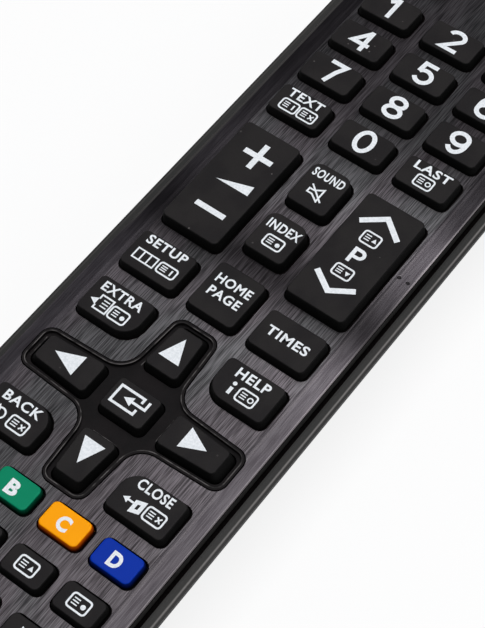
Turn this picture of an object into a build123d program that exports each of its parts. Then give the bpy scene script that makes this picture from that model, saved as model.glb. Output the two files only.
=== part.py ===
from build123d import *
from math import atan, cos, degrees, pi, radians, sin, tan
import os

# A hand-held television remote control, lying on its back with its keys up.
# +X is to the right of the keys, +Y is towards the end with the infrared window,
# +Z is up, and the origin is the middle of the face that it rests on.
# All sizes are millimetres.

# Outline of the body, seen from above
BODY_LENGTH = 210.0
BODY_WIDTH = 50.0
BODY_CORNER = 10.0
END_BOW = 1.8  # how far each end bulges past its own corners

# Heights, stacked from the resting face up
FLOOR = 1.5
CELL_DIAMETER = 10.5
CELL_PLAY = 0.35  # free space above and below a cell
BOARD = 1.0
SHEET = 1.0
SHEET_GAP = 0.3  # between a pressed key's flange and the rubber sheet
KEY_TRAVEL = 1.0
FLANGE = 0.9
DECK_GAP = 0.3  # between a key's flange at rest and the deck above it
DECK = 1.4
PLATE = 0.8

CELL_Z = FLOOR + CELL_PLAY + CELL_DIAMETER / 2
BOARD_Z = CELL_Z + CELL_DIAMETER / 2 + CELL_PLAY
SHEET_Z = BOARD_Z + BOARD
SHEET_TOP = SHEET_Z + SHEET
FLANGE_Z = SHEET_TOP + SHEET_GAP + KEY_TRAVEL
DECK_Z = FLANGE_Z + FLANGE + DECK_GAP
PLATE_Z = DECK_Z + DECK
FACE_Z = PLATE_Z + PLATE

# Rim round the raised face, and the seam under it
PLATE_INSET = 2.5
MARGIN_WIDTH = 2.4  # the plate's edge slopes down gently over this width
MARGIN_FALL = 0.25
PLATE_BEVEL = 0.15
RIM_DROP = 2.4
RIM_FALL = 0.4  # how far the rim slopes down to its outer edge
RIM_SLOPE = 1.4
GROOVE_WIDTH = 0.5
GROOVE_DEPTH = 0.6
SEAM_DROP = 3.6
LIP_HEIGHT = 1.4
LIP = 0.9
SHELL_GAP = 0.1  # between fixed shells that fit into each other
DECK_WALL = 1.3

RIM_Z = FACE_Z - RIM_DROP
SEAM_Z = FACE_Z - SEAM_DROP

# Hull of the lower shell: the wall tucks in below the seam, and more below the bend
BEND_Z = 7.0
UPPER_DRAFT = 17.0  # degrees from upright
LOWER_DRAFT = 37.0
BEND_ROUND = 6.0
SOLE_ROUND = 1.2
WALL = 1.8

# Keys: sizes of the flat top faces, and how each cap flares down to the plate
KEY_FLARE = 0.3
KEY_GAP = 0.2
KEY_FLANGE = 0.5
KEY_EDGE_ROUND = 0.28
KEY_CORNER = 0.9
PLUNGER = 2.8
PLUNGER_GAP = 0.1  # above the board when the key is pressed
PLUNGER_CLEARANCE = 0.3

NUMBER_ROW_PITCH = 9.13
NUMBER_KEY = (9.87, 5.94)
NUMBER_RISE = 1.64
ROCKER_KEY = (11.17, 23.87)
ROCKER_RISE = 2.11
ROCKER_FLANGE = 0.6
ROCKER_LIFT = 0.95  # free space above a rocker's flange, for the end that rises
ROCKER_CONTACT = 8.6  # from the middle of a rocker to each plunger
SOUND_KEY = (7.57, 9.06)
LIST_KEY = (7.57, 8.32)
MIDDLE_TOP_CORNER = 1.8
MENU_KEY = (10.83, 7.34)
HOME_KEY = (8.97, 9.74)
MENU_RISE = 1.69
SIDE_KEY = (10.83, 7.22)
SIDE_RISE = 1.66
SIDE_BIG_CORNER = 3.2
COLOUR_KEY = (7.31, 4.63)
COLOUR_RISE = 1.1
FUNCTION_KEY = (7.31, 4.7)
FUNCTION_RISE = 1.3
DECK_KEY = (9.87, 5.0)

# Space between two columns, as a share of the width that the row of keys leaves free
NUMBER_SPACING = 0.1811
ROCKER_SPACING = 0.1926
MENU_SPACING = 0.1837
COLOUR_SPACING = 0.1298

# Rows, each measured from the one before it, starting at the +Y end
POWER_ROW_FROM_END = 11.1
POWER_TO_NUMBERS = 11.5
NUMBERS_TO_ROCKERS = 19.82
ROCKERS_TO_SOUND = 7.44  # the sound key's centre stands this far towards +Y
SOUND_TO_LIST = 12.1
ROCKERS_TO_MENU = 19.35
MENU_TO_HOME = 1.29  # the home key's centre stands this far towards +Y
MENU_TO_OPTION = 10.9
OPTION_TO_PAD = 12.28
PAD_TO_BACK = 12.24
BACK_TO_COLOURS = 9.44
COLOURS_TO_FUNCTIONS = 8.65
FUNCTIONS_TO_TAPE = 8.7
TAPE_ROW_PITCH = 8.6

# Cross of the direction pad
CROSS_FROM_PLATE_EDGE = 2.24
CROSS_REACH_Y = 17.68
CROSS_TIP_X = 4.3  # half width of the arms that point along Y, at their ends
CROSS_TIP_Y = 4.15
CROSS_NECK_X = 5.2
CROSS_NECK_Y = 4.87
CROSS_TIP_ROUND = 2.3
CROSS_NECK_ROUND = 3.8
PAD_GAP = 0.2
PAD_SINK = 0.6  # the pad's floor lies this far below the plate
PAD_LIP = 0.5
PAD_LIP_RISE = 0.7
PAD_KEY_RISE = 1.35
PAD_KEY_GAP = 0.25
ARROW_Y_START = 7.1
ARROW_Y_END = 15.45
ARROW_Y_WIDTHS = (6.3, 4.9)
ARROW_X_START = 7.25
ARROW_X_FROM_REACH = 2.51  # from the flat top's end to the end of the pad's opening
ARROW_X_WIDTHS = (6.1, 4.7)
ARROW_OUTER_SLOPE = 0.95
ENTER_KEY = (8.1, 6.1)
ARROW_CORNER = 0.8

# Board, sheet and what carries them
BOARD_SIDE_GAP = 1.75  # between the board and the wall of the lower shell
BOARD_CORNER = 3.0
BOARD_FROM_POWER_ROW = 4.2
BOARD_PAST_TAPE_ROW = 3.4
BOARD_PAST_CONTACTS = 3.0
SHEET_MARGIN = 0.8
POST = 5.0
POST_FROM_BOARD_EDGE = 2.5
PIN = 1.8
PIN_GAP = 0.15
PIN_SHEET_GAP = 0.4
PIN_RISE = 0.7  # a pin ends this far above the board

# Cell bay, roof and the sliding cover
CELL_LENGTH = 44.5
CELL_NUB = 3.8
CELL_NUB_LENGTH = 0.8
CELL_EDGE_ROUND = 0.5
CELL_GAP = 0.4
BAY_FROM_END = 10.8  # from the -Y end of the body to the bay's end wall
BAY_WALL = 1.2
BAY_SIDE_GAP = 0.5
BAY_SIDE_WALL = 1.0
ROOF = 1.0
ROOF_GAP = 1.0
CONTACT = 0.4
CONTACT_WIDTH = 8.4
CONTACT_MARGIN = 1.6
SPRING_LENGTH = 4.0
SPRING_WIRE = 0.55
SPRING_TURNS = 3.5
SPRING_BASE_RADIUS = 3.3
SPRING_TIP_RADIUS = 2.3
COVER_FROM_SOLE_EDGE = 3.13
COVER_END_STEP = 2.1  # how much wider the cover is on each side at the end wall
COVER_END_HEIGHT = 7.0
COVER_END_DEPTH = 12.5
COVER_GAP = 0.2
RAIL = 1.1
RAIL_HEIGHT = 0.9
TONGUE = 1.3
GRIP_WIDTH = 11.0
GRIP_GROOVE = 0.9
GRIP_DEPTH = 0.45
GRIP_PITCH = 1.9
GRIP_COUNT = 5
GRIP_FROM_EDGE = 6.0

# Screws that hold the shells together, driven from inside the bay
SCREW = 2.2
SCREW_HEAD = 3.6
SCREW_HEAD_HEIGHT = 1.3
SCREW_LENGTH = 4.6
SCREW_SLOT = 0.6
SCREW_SLOT_LENGTH = 2.16
BOSS = 5.4
SCREW_FROM_BAY_END = 5.0
SCREW_FROM_ROOF_START = 2.83

# Electronics under the board
CHIP = (7.6, 12.8, 2.3)
CHIP_FROM_PAD = 6.0
CHIP_LEADS = 10
CHIP_LEAD_PITCH = 1.27
CHIP_LEAD = (1.3, 0.42, 0.25)
CHIP_STANDOFF = 0.15
CHIP_BEVEL = 0.3
LED = 5.0
LED_COLLAR = 5.8
LED_COLLAR_LENGTH = 1.0
LED_LENGTH = 8.6
LED_LEAD = 0.5
LED_LEAD_SPACING = 2.54
LED_DROP = 0.6  # from the board's underside to the collar
LED_LEAD_REACH = 1.6
LED_TO_WINDOW = 0.5
WINDOW_WIDTH = 20.0
WINDOW_DEPTH = 9.0
WINDOW_BOTTOM = 5.0
WINDOW_FROM_SEAM = 2.2

TOP_END = BODY_LENGTH / 2
POWER_Y = TOP_END - POWER_ROW_FROM_END
NUMBER_YS = [POWER_Y - POWER_TO_NUMBERS - NUMBER_ROW_PITCH * row for row in range(4)]
ROCKER_Y = NUMBER_YS[-1] - NUMBERS_TO_ROCKERS
SOUND_Y = ROCKER_Y + ROCKERS_TO_SOUND
LIST_Y = SOUND_Y - SOUND_TO_LIST
MENU_Y = ROCKER_Y - ROCKERS_TO_MENU
HOME_Y = MENU_Y + MENU_TO_HOME
OPTION_Y = MENU_Y - MENU_TO_OPTION
PAD_Y = OPTION_Y - OPTION_TO_PAD
BACK_Y = PAD_Y - PAD_TO_BACK
COLOUR_Y = BACK_Y - BACK_TO_COLOURS
FUNCTION_Y = COLOUR_Y - COLOURS_TO_FUNCTIONS
TAPE_YS = [FUNCTION_Y - FUNCTIONS_TO_TAPE - TAPE_ROW_PITCH * row for row in range(2)]

CELL_SPACING = CELL_DIAMETER + CELL_GAP
BAY_END_Y = BAY_FROM_END - BODY_LENGTH / 2
BAY_LENGTH = CELL_LENGTH + SPRING_LENGTH + 2 * CONTACT
BAY_START_Y = BAY_END_Y + BAY_LENGTH
BOARD_TOP_Y = POWER_Y + BOARD_FROM_POWER_ROW
BOARD_END_Y = min(TAPE_YS[-1] - BOARD_PAST_TAPE_ROW, BAY_START_Y - BOARD_PAST_CONTACTS)
ROOF_START_Y = BOARD_END_Y - ROOF_GAP


def at_height(z, flat):
    """A flat outline lifted to a height."""
    return Pos(0, 0, z) * flat


def block(x_range, y_range, z_range):
    """A box between two corners."""
    spans = [high - low for low, high in (x_range, y_range, z_range)]
    middles = [(low + high) / 2 for low, high in (x_range, y_range, z_range)]
    return Pos(*middles) * Box(*spans)


def post(x, y, z_range, diameter):
    """An upright round bar."""
    low, high = z_range
    return Pos(x, y, (low + high) / 2) * Cylinder(diameter / 2, high - low)


def body_plan():
    """The body seen from above: straight sides, bowed ends and round corners."""
    half_width = BODY_WIDTH / 2
    tip = BODY_LENGTH / 2
    shoulder = tip - END_BOW
    edges = [
        Line((half_width, -shoulder), (half_width, shoulder)),
        ThreePointArc((half_width, shoulder), (0, tip), (-half_width, shoulder)),
        Line((-half_width, shoulder), (-half_width, -shoulder)),
        ThreePointArc((-half_width, -shoulder), (0, -tip), (half_width, -shoulder)),
    ]
    plan = make_face(edges)
    return fillet(plan.vertices(), BODY_CORNER)


def even_outline(inset):
    """The body's plan drawn in alike all round."""
    return offset(body_plan(), -inset) if inset else body_plan()


def even_ring(outer_inset, inner_inset, z_range):
    """A wall that follows the body's plan."""
    low, high = z_range
    flat = even_outline(outer_inset) - even_outline(inner_inset)
    return extrude(at_height(low, flat), high - low)


def rounded_polygon(points, radii):
    """A flat face through the points, each corner rounded by its own radius."""
    face = make_face(Polyline(*points, close=True))
    for radius in sorted(set(radii)):
        corners = [point for point, own in zip(points, radii) if own == radius]
        face = fillet([face.vertices().sort_by_distance(corner)[0] for corner in corners], radius)
    return face


def hull_draft(z):
    """How far the hull has drawn in at a height below the seam."""
    upper = (SEAM_Z - max(z, BEND_Z)) * tan(radians(UPPER_DRAFT))
    lower = (BEND_Z - min(z, BEND_Z)) * tan(radians(LOWER_DRAFT))
    return upper + lower


def board_half_width():
    """Half width of the board, which lies between the walls of the lower shell."""
    return BODY_WIDTH / 2 - hull_draft(BOARD_Z) - WALL - BOARD_SIDE_GAP


def cover_half_width():
    """Half width of the battery cover where it lies in the sole."""
    return BODY_WIDTH / 2 - hull_draft(0) - COVER_FROM_SOLE_EDGE


def cross_reach_x():
    """From the pad's middle to the end of its opening along X."""
    return BODY_WIDTH / 2 - PLATE_INSET - CROSS_FROM_PLATE_EDGE


def column_step(widths, spacing):
    """From the middle of a row's first key to its second, for key tops of these widths."""
    margin = KEY_FLARE + KEY_GAP + KEY_FLANGE
    free = BODY_WIDTH - 2 * (PLATE_INSET + DECK_WALL) - sum(widths) - 2 * margin * len(widths)
    return (widths[0] + widths[1]) / 2 + 2 * margin + spacing * free


NUMBER_PITCH = column_step([NUMBER_KEY[0]] * 3, NUMBER_SPACING)
ROCKER_X = column_step([ROCKER_KEY[0], SOUND_KEY[0], ROCKER_KEY[0]], ROCKER_SPACING)
MENU_X = column_step([MENU_KEY[0], HOME_KEY[0], MENU_KEY[0]], MENU_SPACING)
COLOUR_PITCH = column_step([COLOUR_KEY[0]] * 4, COLOUR_SPACING)


def hull_form(extra_inset, foot_z):
    """The solid between a height and the seam, drawn in by an extra inset on every side."""
    flat = even_outline(hull_draft(foot_z) + extra_inset)
    lower = extrude(at_height(foot_z, flat), BEND_Z - foot_z, taper=-LOWER_DRAFT)
    flat = even_outline(hull_draft(BEND_Z) + extra_inset)
    return lower + extrude(at_height(BEND_Z, flat), SEAM_Z - BEND_Z, taper=-UPPER_DRAFT)


def key_rectangle(size, corners=None):
    """The flat top of a key; corners are given from +X +Y, turning towards -X."""
    half_x, half_y = size[0] / 2, size[1] / 2
    points = [(half_x, half_y), (-half_x, half_y), (-half_x, -half_y), (half_x, -half_y)]
    return rounded_polygon(points, corners or [KEY_CORNER] * 4)


def arrow_outline(start, end, widths, outer_slope=0.0, flare=0.0):
    """A direction key's outline, pointing along +Y from the pad's middle."""
    inner, outer = widths[0] / 2 + flare, widths[1] / 2 + flare
    low, high = start - flare, end + outer_slope
    points = [(outer, high), (-outer, high), (-inner, low), (inner, low)]
    return rounded_polygon(points, [ARROW_CORNER + flare] * 4)


def cross_outline():
    """The direction pad's opening: four arms that widen towards the middle."""
    points = []
    radii = []
    for turn_x, turn_y in ((1, 1), (1, -1), (-1, -1), (-1, 1)):
        arm = [
            ((CROSS_TIP_X * turn_x, CROSS_REACH_Y * turn_y), CROSS_TIP_ROUND),
            ((CROSS_NECK_X * turn_x, CROSS_NECK_Y * turn_y), CROSS_NECK_ROUND),
            ((cross_reach_x() * turn_x, CROSS_TIP_Y * turn_y), CROSS_TIP_ROUND),
        ]
        if turn_x * turn_y < 0:
            arm.reverse()
        points += [corner for corner, radius in arm]
        radii += [radius for corner, radius in arm]
    return rounded_polygon(points, radii)


def rounded_cap(cap):
    """A cap with the edge of its flat top rounded."""
    return fillet(cap.faces().sort_by(Axis.Z)[-1].edges(), KEY_EDGE_ROUND)


def plunger(x, y, bottom, top):
    """The peg under a key that closes its contact."""
    return post(x, y, (bottom, top), PLUNGER)


def plain_key(top, rise):
    """A key that is pressed straight down, made about its own middle."""
    neck = offset(top, KEY_FLARE)
    key = rounded_cap(extrude(at_height(FACE_Z, neck), rise, taper=degrees(atan(KEY_FLARE / rise))))
    key += extrude(at_height(FLANGE_Z, neck), FACE_Z - FLANGE_Z)
    key += extrude(at_height(FLANGE_Z, offset(top, KEY_FLARE + KEY_GAP + KEY_FLANGE)), FLANGE)
    foot = SHEET_Z + KEY_TRAVEL + PLUNGER_GAP
    return key + plunger(0, 0, foot, FLANGE_Z)


def rocker_key(top, rise):
    """A long key that tips about its middle, with a plunger near each end."""
    neck = offset(top, KEY_FLARE)
    key = rounded_cap(extrude(at_height(FACE_Z, neck), rise, taper=degrees(atan(KEY_FLARE / rise))))
    flange_z = DECK_Z - ROCKER_LIFT - ROCKER_FLANGE
    key += extrude(at_height(flange_z, neck), FACE_Z - flange_z)
    wide = offset(top, KEY_FLARE + KEY_GAP + KEY_FLANGE)
    key += extrude(at_height(flange_z, wide), ROCKER_FLANGE)
    foot = SHEET_Z + KEY_TRAVEL + PLUNGER_GAP
    for side in (-1, 1):
        key += plunger(0, side * ROCKER_CONTACT, foot, flange_z)
    return key


def pad_key(top, base, contact):
    """A key of the direction pad: a cap on a straight stem, with one plunger."""
    stem_top = FACE_Z - PAD_SINK
    cap = loft([at_height(stem_top, base), at_height(FACE_Z + PAD_KEY_RISE, top)], ruled=True)
    key = rounded_cap(cap)
    key += extrude(at_height(FLANGE_Z, base), stem_top - FLANGE_Z)
    foot = SHEET_Z + KEY_TRAVEL + PLUNGER_GAP
    return key + plunger(*contact, foot, FLANGE_Z)


def plain_key_places():
    """Every key that is pressed straight down: name, middle, flat top and rise."""
    numbers = key_rectangle(NUMBER_KEY)
    tape = key_rectangle(DECK_KEY)
    colour = key_rectangle(COLOUR_KEY)
    function = key_rectangle(FUNCTION_KEY)
    menu = key_rectangle(MENU_KEY)
    rounded_top = [MIDDLE_TOP_CORNER, MIDDLE_TOP_CORNER, KEY_CORNER, KEY_CORNER]
    places = [
        ("power_key", -NUMBER_PITCH, POWER_Y, numbers, NUMBER_RISE),
        ("source_key", NUMBER_PITCH, POWER_Y, numbers, NUMBER_RISE),
        ("sound_key", 0.0, SOUND_Y, key_rectangle(SOUND_KEY, rounded_top), ROCKER_RISE),
        ("list_key", 0.0, LIST_Y, key_rectangle(LIST_KEY, rounded_top), ROCKER_RISE),
        ("menu_key", -MENU_X, MENU_Y, menu, MENU_RISE),
        ("home_key", 0.0, HOME_Y, key_rectangle(HOME_KEY), MENU_RISE),
        ("guide_key", MENU_X, MENU_Y, menu, MENU_RISE),
    ]
    rows = (("key_1", "key_2", "key_3"), ("key_4", "key_5", "key_6"),
            ("key_7", "key_8", "key_9"), ("text_key", "key_0", "last_key"))
    for names, y in zip(rows, NUMBER_YS):
        for column, name in enumerate(names):
            places.append((name, (column - 1) * NUMBER_PITCH, y, numbers, NUMBER_RISE))
    # The corner nearest the middle of the pad is the large one on these four
    corner_keys = (("option_key", -1, OPTION_Y, 3), ("help_key", 1, OPTION_Y, 2),
                   ("back_key", -1, BACK_Y, 0), ("close_key", 1, BACK_Y, 1))
    for name, side, y, large in corner_keys:
        corners = [KEY_CORNER] * 4
        corners[large] = SIDE_BIG_CORNER
        places.append((name, side * MENU_X, y, key_rectangle(SIDE_KEY, corners), SIDE_RISE))
    for column, letter in enumerate("abcd"):
        x = (column - 1.5) * COLOUR_PITCH
        places.append((f"colour_key_{letter}", x, COLOUR_Y, colour, COLOUR_RISE))
        places.append((f"function_key_{column + 1}", x, FUNCTION_Y, function, FUNCTION_RISE))
    tape_rows = (("rewind_key", "pause_key", "forward_key"), ("record_key", "play_key", "stop_key"))
    for names, y in zip(tape_rows, TAPE_YS):
        for column, name in enumerate(names):
            places.append((name, (column - 1) * NUMBER_PITCH, y, tape, FUNCTION_RISE))
    return places


def pad_keys():
    """The five keys of the direction pad: name, top, base and plunger, about the pad's middle."""
    y_top = arrow_outline(ARROW_Y_START, ARROW_Y_END, ARROW_Y_WIDTHS)
    y_base = arrow_outline(ARROW_Y_START, ARROW_Y_END, ARROW_Y_WIDTHS, ARROW_OUTER_SLOPE, KEY_FLARE)
    x_end = cross_reach_x() - ARROW_X_FROM_REACH
    x_top = arrow_outline(ARROW_X_START, x_end, ARROW_X_WIDTHS)
    x_base = arrow_outline(ARROW_X_START, x_end, ARROW_X_WIDTHS, ARROW_OUTER_SLOPE, KEY_FLARE)
    y_contact = (ARROW_Y_START + ARROW_Y_END) / 2
    x_contact = (ARROW_X_START + x_end) / 2
    enter = key_rectangle(ENTER_KEY, [ARROW_CORNER] * 4)
    turned = [("up_key", 0, y_top, y_base, (0, y_contact)),
              ("down_key", 180, y_top, y_base, (0, -y_contact)),
              ("left_key", 90, x_top, x_base, (-x_contact, 0)),
              ("right_key", -90, x_top, x_base, (x_contact, 0))]
    keys = [(name, Rot(0, 0, angle) * top, Rot(0, 0, angle) * base, contact)
            for name, angle, top, base, contact in turned]
    return keys + [("enter_key", enter, offset(enter, KEY_FLARE), (0, 0))]


def key_hole_tools(places, z_range):
    """What is cut from the plate and the deck so that the keys and the pad pass through."""
    low, high = z_range
    tools = []
    for name, x, y, top, rise in places:
        tools.append(Pos(x, y, low) * extrude(offset(top, KEY_FLARE + KEY_GAP), high - low))
    for side in (-1, 1):
        hole = offset(key_rectangle(ROCKER_KEY), KEY_FLARE + KEY_GAP)
        tools.append(Pos(side * ROCKER_X, ROCKER_Y, low) * extrude(hole, high - low))
    tools.append(Pos(0, PAD_Y, low) * extrude(cross_outline(), high - low))
    return tools


def make_face_plate(places):
    """The brushed plate round the keys, with a sloping margin and a fine bevel at its edge."""
    plate = extrude(at_height(PLATE_Z, even_outline(PLATE_INSET)), PLATE)
    plate = chamfer(plate.faces().sort_by(Axis.Z)[-1].edges(), MARGIN_FALL, MARGIN_WIDTH)
    brink_z = FACE_Z - MARGIN_FALL
    brink = plate.edges().filter_by(lambda edge: abs(edge.center().Z - brink_z) < PLATE_BEVEL / 2)
    plate = chamfer(brink, PLATE_BEVEL)
    return plate - key_hole_tools(places, (PLATE_Z, FACE_Z))


def screw_places():
    """Where the shell screws stand, between the two cells."""
    return [(0.0, BAY_END_Y + SCREW_FROM_BAY_END), (0.0, ROOF_START_Y - SCREW_FROM_ROOF_START)]


def make_top_case(places):
    """The upper shell: rim, raised deck under the plate, lip and screw bosses."""
    rim = extrude(at_height(SEAM_Z, even_outline(0)), RIM_Z - SEAM_Z)
    rim = chamfer(rim.faces().sort_by(Axis.Z)[-1].edges(), RIM_FALL, RIM_SLOPE)
    case = rim + extrude(at_height(SEAM_Z, even_outline(PLATE_INSET)), PLATE_Z - SEAM_Z)
    case -= extrude(at_height(SEAM_Z, even_outline(PLATE_INSET + DECK_WALL)), DECK_Z - SEAM_Z)
    case -= even_ring(PLATE_INSET - GROOVE_WIDTH, PLATE_INSET, (RIM_Z - GROOVE_DEPTH, RIM_Z))
    lip_inset = WALL + hull_draft(SEAM_Z - LIP_HEIGHT) + SHELL_GAP
    case += even_ring(lip_inset, lip_inset + LIP, (SEAM_Z - LIP_HEIGHT, SEAM_Z + SHELL_GAP))
    case -= key_hole_tools(places, (DECK_Z, PLATE_Z))
    roof_top = BOARD_Z + ROOF
    for x, y in screw_places():
        case += post(x, y, (roof_top, DECK_Z), BOSS)
        case -= post(x, y, (roof_top, DECK_Z), SCREW)
    return case


def post_ys():
    """Rows of locating pins, each in a space between two rows of keys."""
    return [(POWER_Y + NUMBER_YS[0]) / 2, (NUMBER_YS[-1] + ROCKER_Y) / 2 + ROCKER_KEY[1] / 6,
            (MENU_Y + OPTION_Y) / 2, (COLOUR_Y + FUNCTION_Y) / 2]


def pin_places():
    """The locating pins that the board and the sheet sit over."""
    x = board_half_width() - POST_FROM_BOARD_EDGE
    return [(side * x, y) for side in (-1, 1) for y in post_ys()]


def cover_form(gap):
    """The part of the lower shell that slides off, drawn in by a gap."""
    half = cover_half_width() - gap
    end_half = half + COVER_END_STEP
    end_y = COVER_END_DEPTH - BODY_LENGTH / 2
    sole = block((-half, half), (-BODY_LENGTH / 2, BAY_START_Y - gap), (0, FLOOR))
    end = block((-end_half, end_half), (-BODY_LENGTH / 2, end_y - gap), (0, COVER_END_HEIGHT - gap))
    return sole + end


def hull_shell():
    """The whole lower shell before anything is cut from it."""
    outer = hull_form(0, 0)
    bend = outer.edges().filter_by(lambda edge: abs(edge.center().Z - BEND_Z) < SHELL_GAP)
    outer = fillet(bend, BEND_ROUND)
    outer = fillet(outer.faces().sort_by(Axis.Z)[0].edges(), SOLE_ROUND)
    return outer - hull_form(WALL, FLOOR)


def window_block():
    """The opening in the +Y end for the infrared window."""
    half = WINDOW_WIDTH / 2
    zs = (WINDOW_BOTTOM, SEAM_Z - WINDOW_FROM_SEAM)
    return block((-half, half), (TOP_END - WINDOW_DEPTH, TOP_END), zs)


def bay_half_width():
    """Inner half width of the cell bay."""
    return (CELL_SPACING + CELL_DIAMETER) / 2 + BAY_SIDE_GAP


def make_bay():
    """Walls round the cells and the roof over them, inside the lower shell."""
    half = bay_half_width()
    outer = half + BAY_SIDE_WALL
    wall_foot = FLOOR + RAIL_HEIGHT + 2 * COVER_GAP
    wall_top = BOARD_Z - COVER_GAP
    bay = block((-BODY_WIDTH / 2, BODY_WIDTH / 2), (-TOP_END, ROOF_START_Y), (BOARD_Z, BOARD_Z + ROOF))
    bay += block((-outer, outer), (BAY_END_Y - BAY_WALL, BAY_END_Y), (wall_foot, BOARD_Z))
    bulkhead = board_half_width() - POST_FROM_BOARD_EDGE
    bulkhead_ys = (BAY_START_Y, BAY_START_Y + BAY_WALL)
    bay += block((-bulkhead, bulkhead), bulkhead_ys, (FLOOR / 2, wall_top))
    for side in (-1, 1):
        xs = sorted((side * half, side * outer))
        bay += block(xs, (BAY_END_Y - BAY_WALL, BAY_START_Y + BAY_WALL), (wall_foot, wall_top))
        bay += block(xs, (BAY_END_Y - BAY_WALL, ROOF_START_Y), (wall_foot, BOARD_Z))
    for x, y in screw_places():
        bay -= post(x, y, (BOARD_Z, BOARD_Z + ROOF), SCREW + 2 * SHELL_GAP)
    return bay


def make_bottom_case(shell):
    """The lower shell with its bay, roof, board posts and openings."""
    case = shell - cover_form(0) - window_block()
    inside = make_bay()
    for x, y in pin_places():
        inside += post(x, y, (FLOOR / 2, BOARD_Z), POST)
    case += inside & hull_form(WALL / 2, 0)
    for x, y in pin_places():
        case += post(x, y, (BOARD_Z, SHEET_Z + PIN_RISE), PIN)
    return case


def make_battery_cover(shell):
    """The sliding cover: sole, end wall, and a tongue along each side."""
    cover = shell & cover_form(COVER_GAP)
    half = cover_half_width() - COVER_GAP
    rail_end = COVER_END_DEPTH - BODY_LENGTH / 2 - COVER_GAP
    ys = (rail_end - WALL, BAY_START_Y - 2 * COVER_GAP)
    for side in (-1, 1):
        rail = sorted((side * (half - RAIL), side * half))
        tongue = sorted((side * (half - RAIL), side * (half + TONGUE)))
        cover += block(rail, ys, (FLOOR / 2, FLOOR + RAIL_HEIGHT))
        cover += block(tongue, ys, (FLOOR + COVER_GAP, FLOOR + RAIL_HEIGHT))
    for index in range(GRIP_COUNT):
        y = BAY_START_Y - GRIP_FROM_EDGE - index * GRIP_PITCH
        groove = block((-GRIP_WIDTH / 2, GRIP_WIDTH / 2), (y - GRIP_GROOVE / 2, y + GRIP_GROOVE / 2),
                       (0, GRIP_DEPTH))
        cover -= groove
    return cover


def make_board():
    """The printed board, with a hole for each locating pin."""
    height = BOARD_TOP_Y - BOARD_END_Y
    flat = RectangleRounded(2 * board_half_width(), height, BOARD_CORNER)
    flat = Pos(0, (BOARD_TOP_Y + BOARD_END_Y) / 2) * flat
    board = extrude(at_height(BOARD_Z, flat), BOARD)
    return board - [post(x, y, (BOARD_Z, SHEET_Z), PIN + 2 * PIN_GAP) for x, y in pin_places()]


def plunger_places(places):
    """The middle of every plunger."""
    spots = [(x, y) for name, x, y, top, rise in places]
    spots += [(side * ROCKER_X, ROCKER_Y + end * ROCKER_CONTACT) for side in (-1, 1) for end in (-1, 1)]
    return spots + [(contact[0], PAD_Y + contact[1]) for name, top, base, contact in pad_keys()]


def make_sheet(places):
    """The rubber sheet over the board, open under each plunger and round each pin."""
    height = BOARD_TOP_Y - BOARD_END_Y - 2 * SHEET_MARGIN
    width = 2 * (board_half_width() - SHEET_MARGIN)
    flat = Pos(0, (BOARD_TOP_Y + BOARD_END_Y) / 2) * RectangleRounded(width, height, BOARD_CORNER)
    sheet = extrude(at_height(SHEET_Z, flat), SHEET)
    span = (SHEET_Z, SHEET_TOP)
    holes = [post(x, y, span, PLUNGER + 2 * PLUNGER_CLEARANCE) for x, y in plunger_places(places)]
    holes += [post(x, y, span, PIN + 2 * PIN_SHEET_GAP) for x, y in pin_places()]
    return sheet - holes


def make_pad():
    """The rubber cross that stands on the sheet and surrounds the direction keys."""
    cross = cross_outline()
    floor_z = FACE_Z - PAD_SINK
    pad = extrude(at_height(SHEET_TOP, offset(cross, -PAD_GAP)), floor_z - SHEET_TOP)
    lip = offset(cross, -PAD_GAP) - offset(cross, -PAD_GAP - PAD_LIP)
    pad += extrude(at_height(floor_z, lip), PAD_LIP_RISE)
    for name, top, base, contact in pad_keys():
        pad -= extrude(at_height(SHEET_TOP, offset(base, PAD_KEY_GAP)), FACE_Z + PAD_LIP_RISE - SHEET_TOP)
    return Pos(0, PAD_Y, 0) * pad


def make_cell(x, nub_side):
    """A dry cell lying along Y, its nub at the named end of the bay."""
    nub_face = BAY_START_Y - CONTACT if nub_side > 0 else BAY_END_Y + CONTACT
    body_length = CELL_LENGTH - CELL_NUB_LENGTH
    body = Cylinder(CELL_DIAMETER / 2, body_length)
    body = fillet(body.edges().filter_by(GeomType.CIRCLE), CELL_EDGE_ROUND)
    cell = body + Pos(0, 0, CELL_LENGTH / 2) * Cylinder(CELL_NUB / 2, CELL_NUB_LENGTH)
    middle = nub_face - nub_side * (CELL_NUB_LENGTH + body_length / 2)
    return Pos(x, middle, CELL_Z) * Rot(-90 * nub_side, 0, 0) * cell


def spring_path():
    """A conical coil about +Z, from its wide end, as pairs of arcs a quarter turn apart."""
    rise = SPRING_LENGTH - SPRING_WIRE
    quarters = round(SPRING_TURNS * 4)
    shrink = SPRING_BASE_RADIUS - SPRING_TIP_RADIUS

    def spot(index):
        share = index / quarters
        angle = index * pi / 2
        radius = SPRING_BASE_RADIUS - shrink * share
        slope = -shrink / (SPRING_TURNS * 2 * pi)
        point = Vector(radius * cos(angle), radius * sin(angle), SPRING_WIRE / 2 + rise * share)
        heading = Vector(slope * cos(angle) - radius * sin(angle),
                         slope * sin(angle) + radius * cos(angle), rise / (SPRING_TURNS * 2 * pi))
        return point, heading.normalized()

    arcs = []
    for index in range(quarters):
        (start, out), (end, back) = spot(index), spot(index + 1)
        gap = end - start
        a = 2 * (out.dot(back) - 1)
        b = -2 * gap.dot(out + back)
        c = gap.dot(gap)
        reach = (-b - (b * b - 4 * a * c) ** 0.5) / (2 * a)
        first, second = start + out * reach, end - back * reach
        joint = (first + second) / 2
        arcs.append(TangentArc(start, joint, tangent=out))
        arcs.append(TangentArc(joint, end, tangent=second - first))
    return Wire(arcs)


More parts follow.
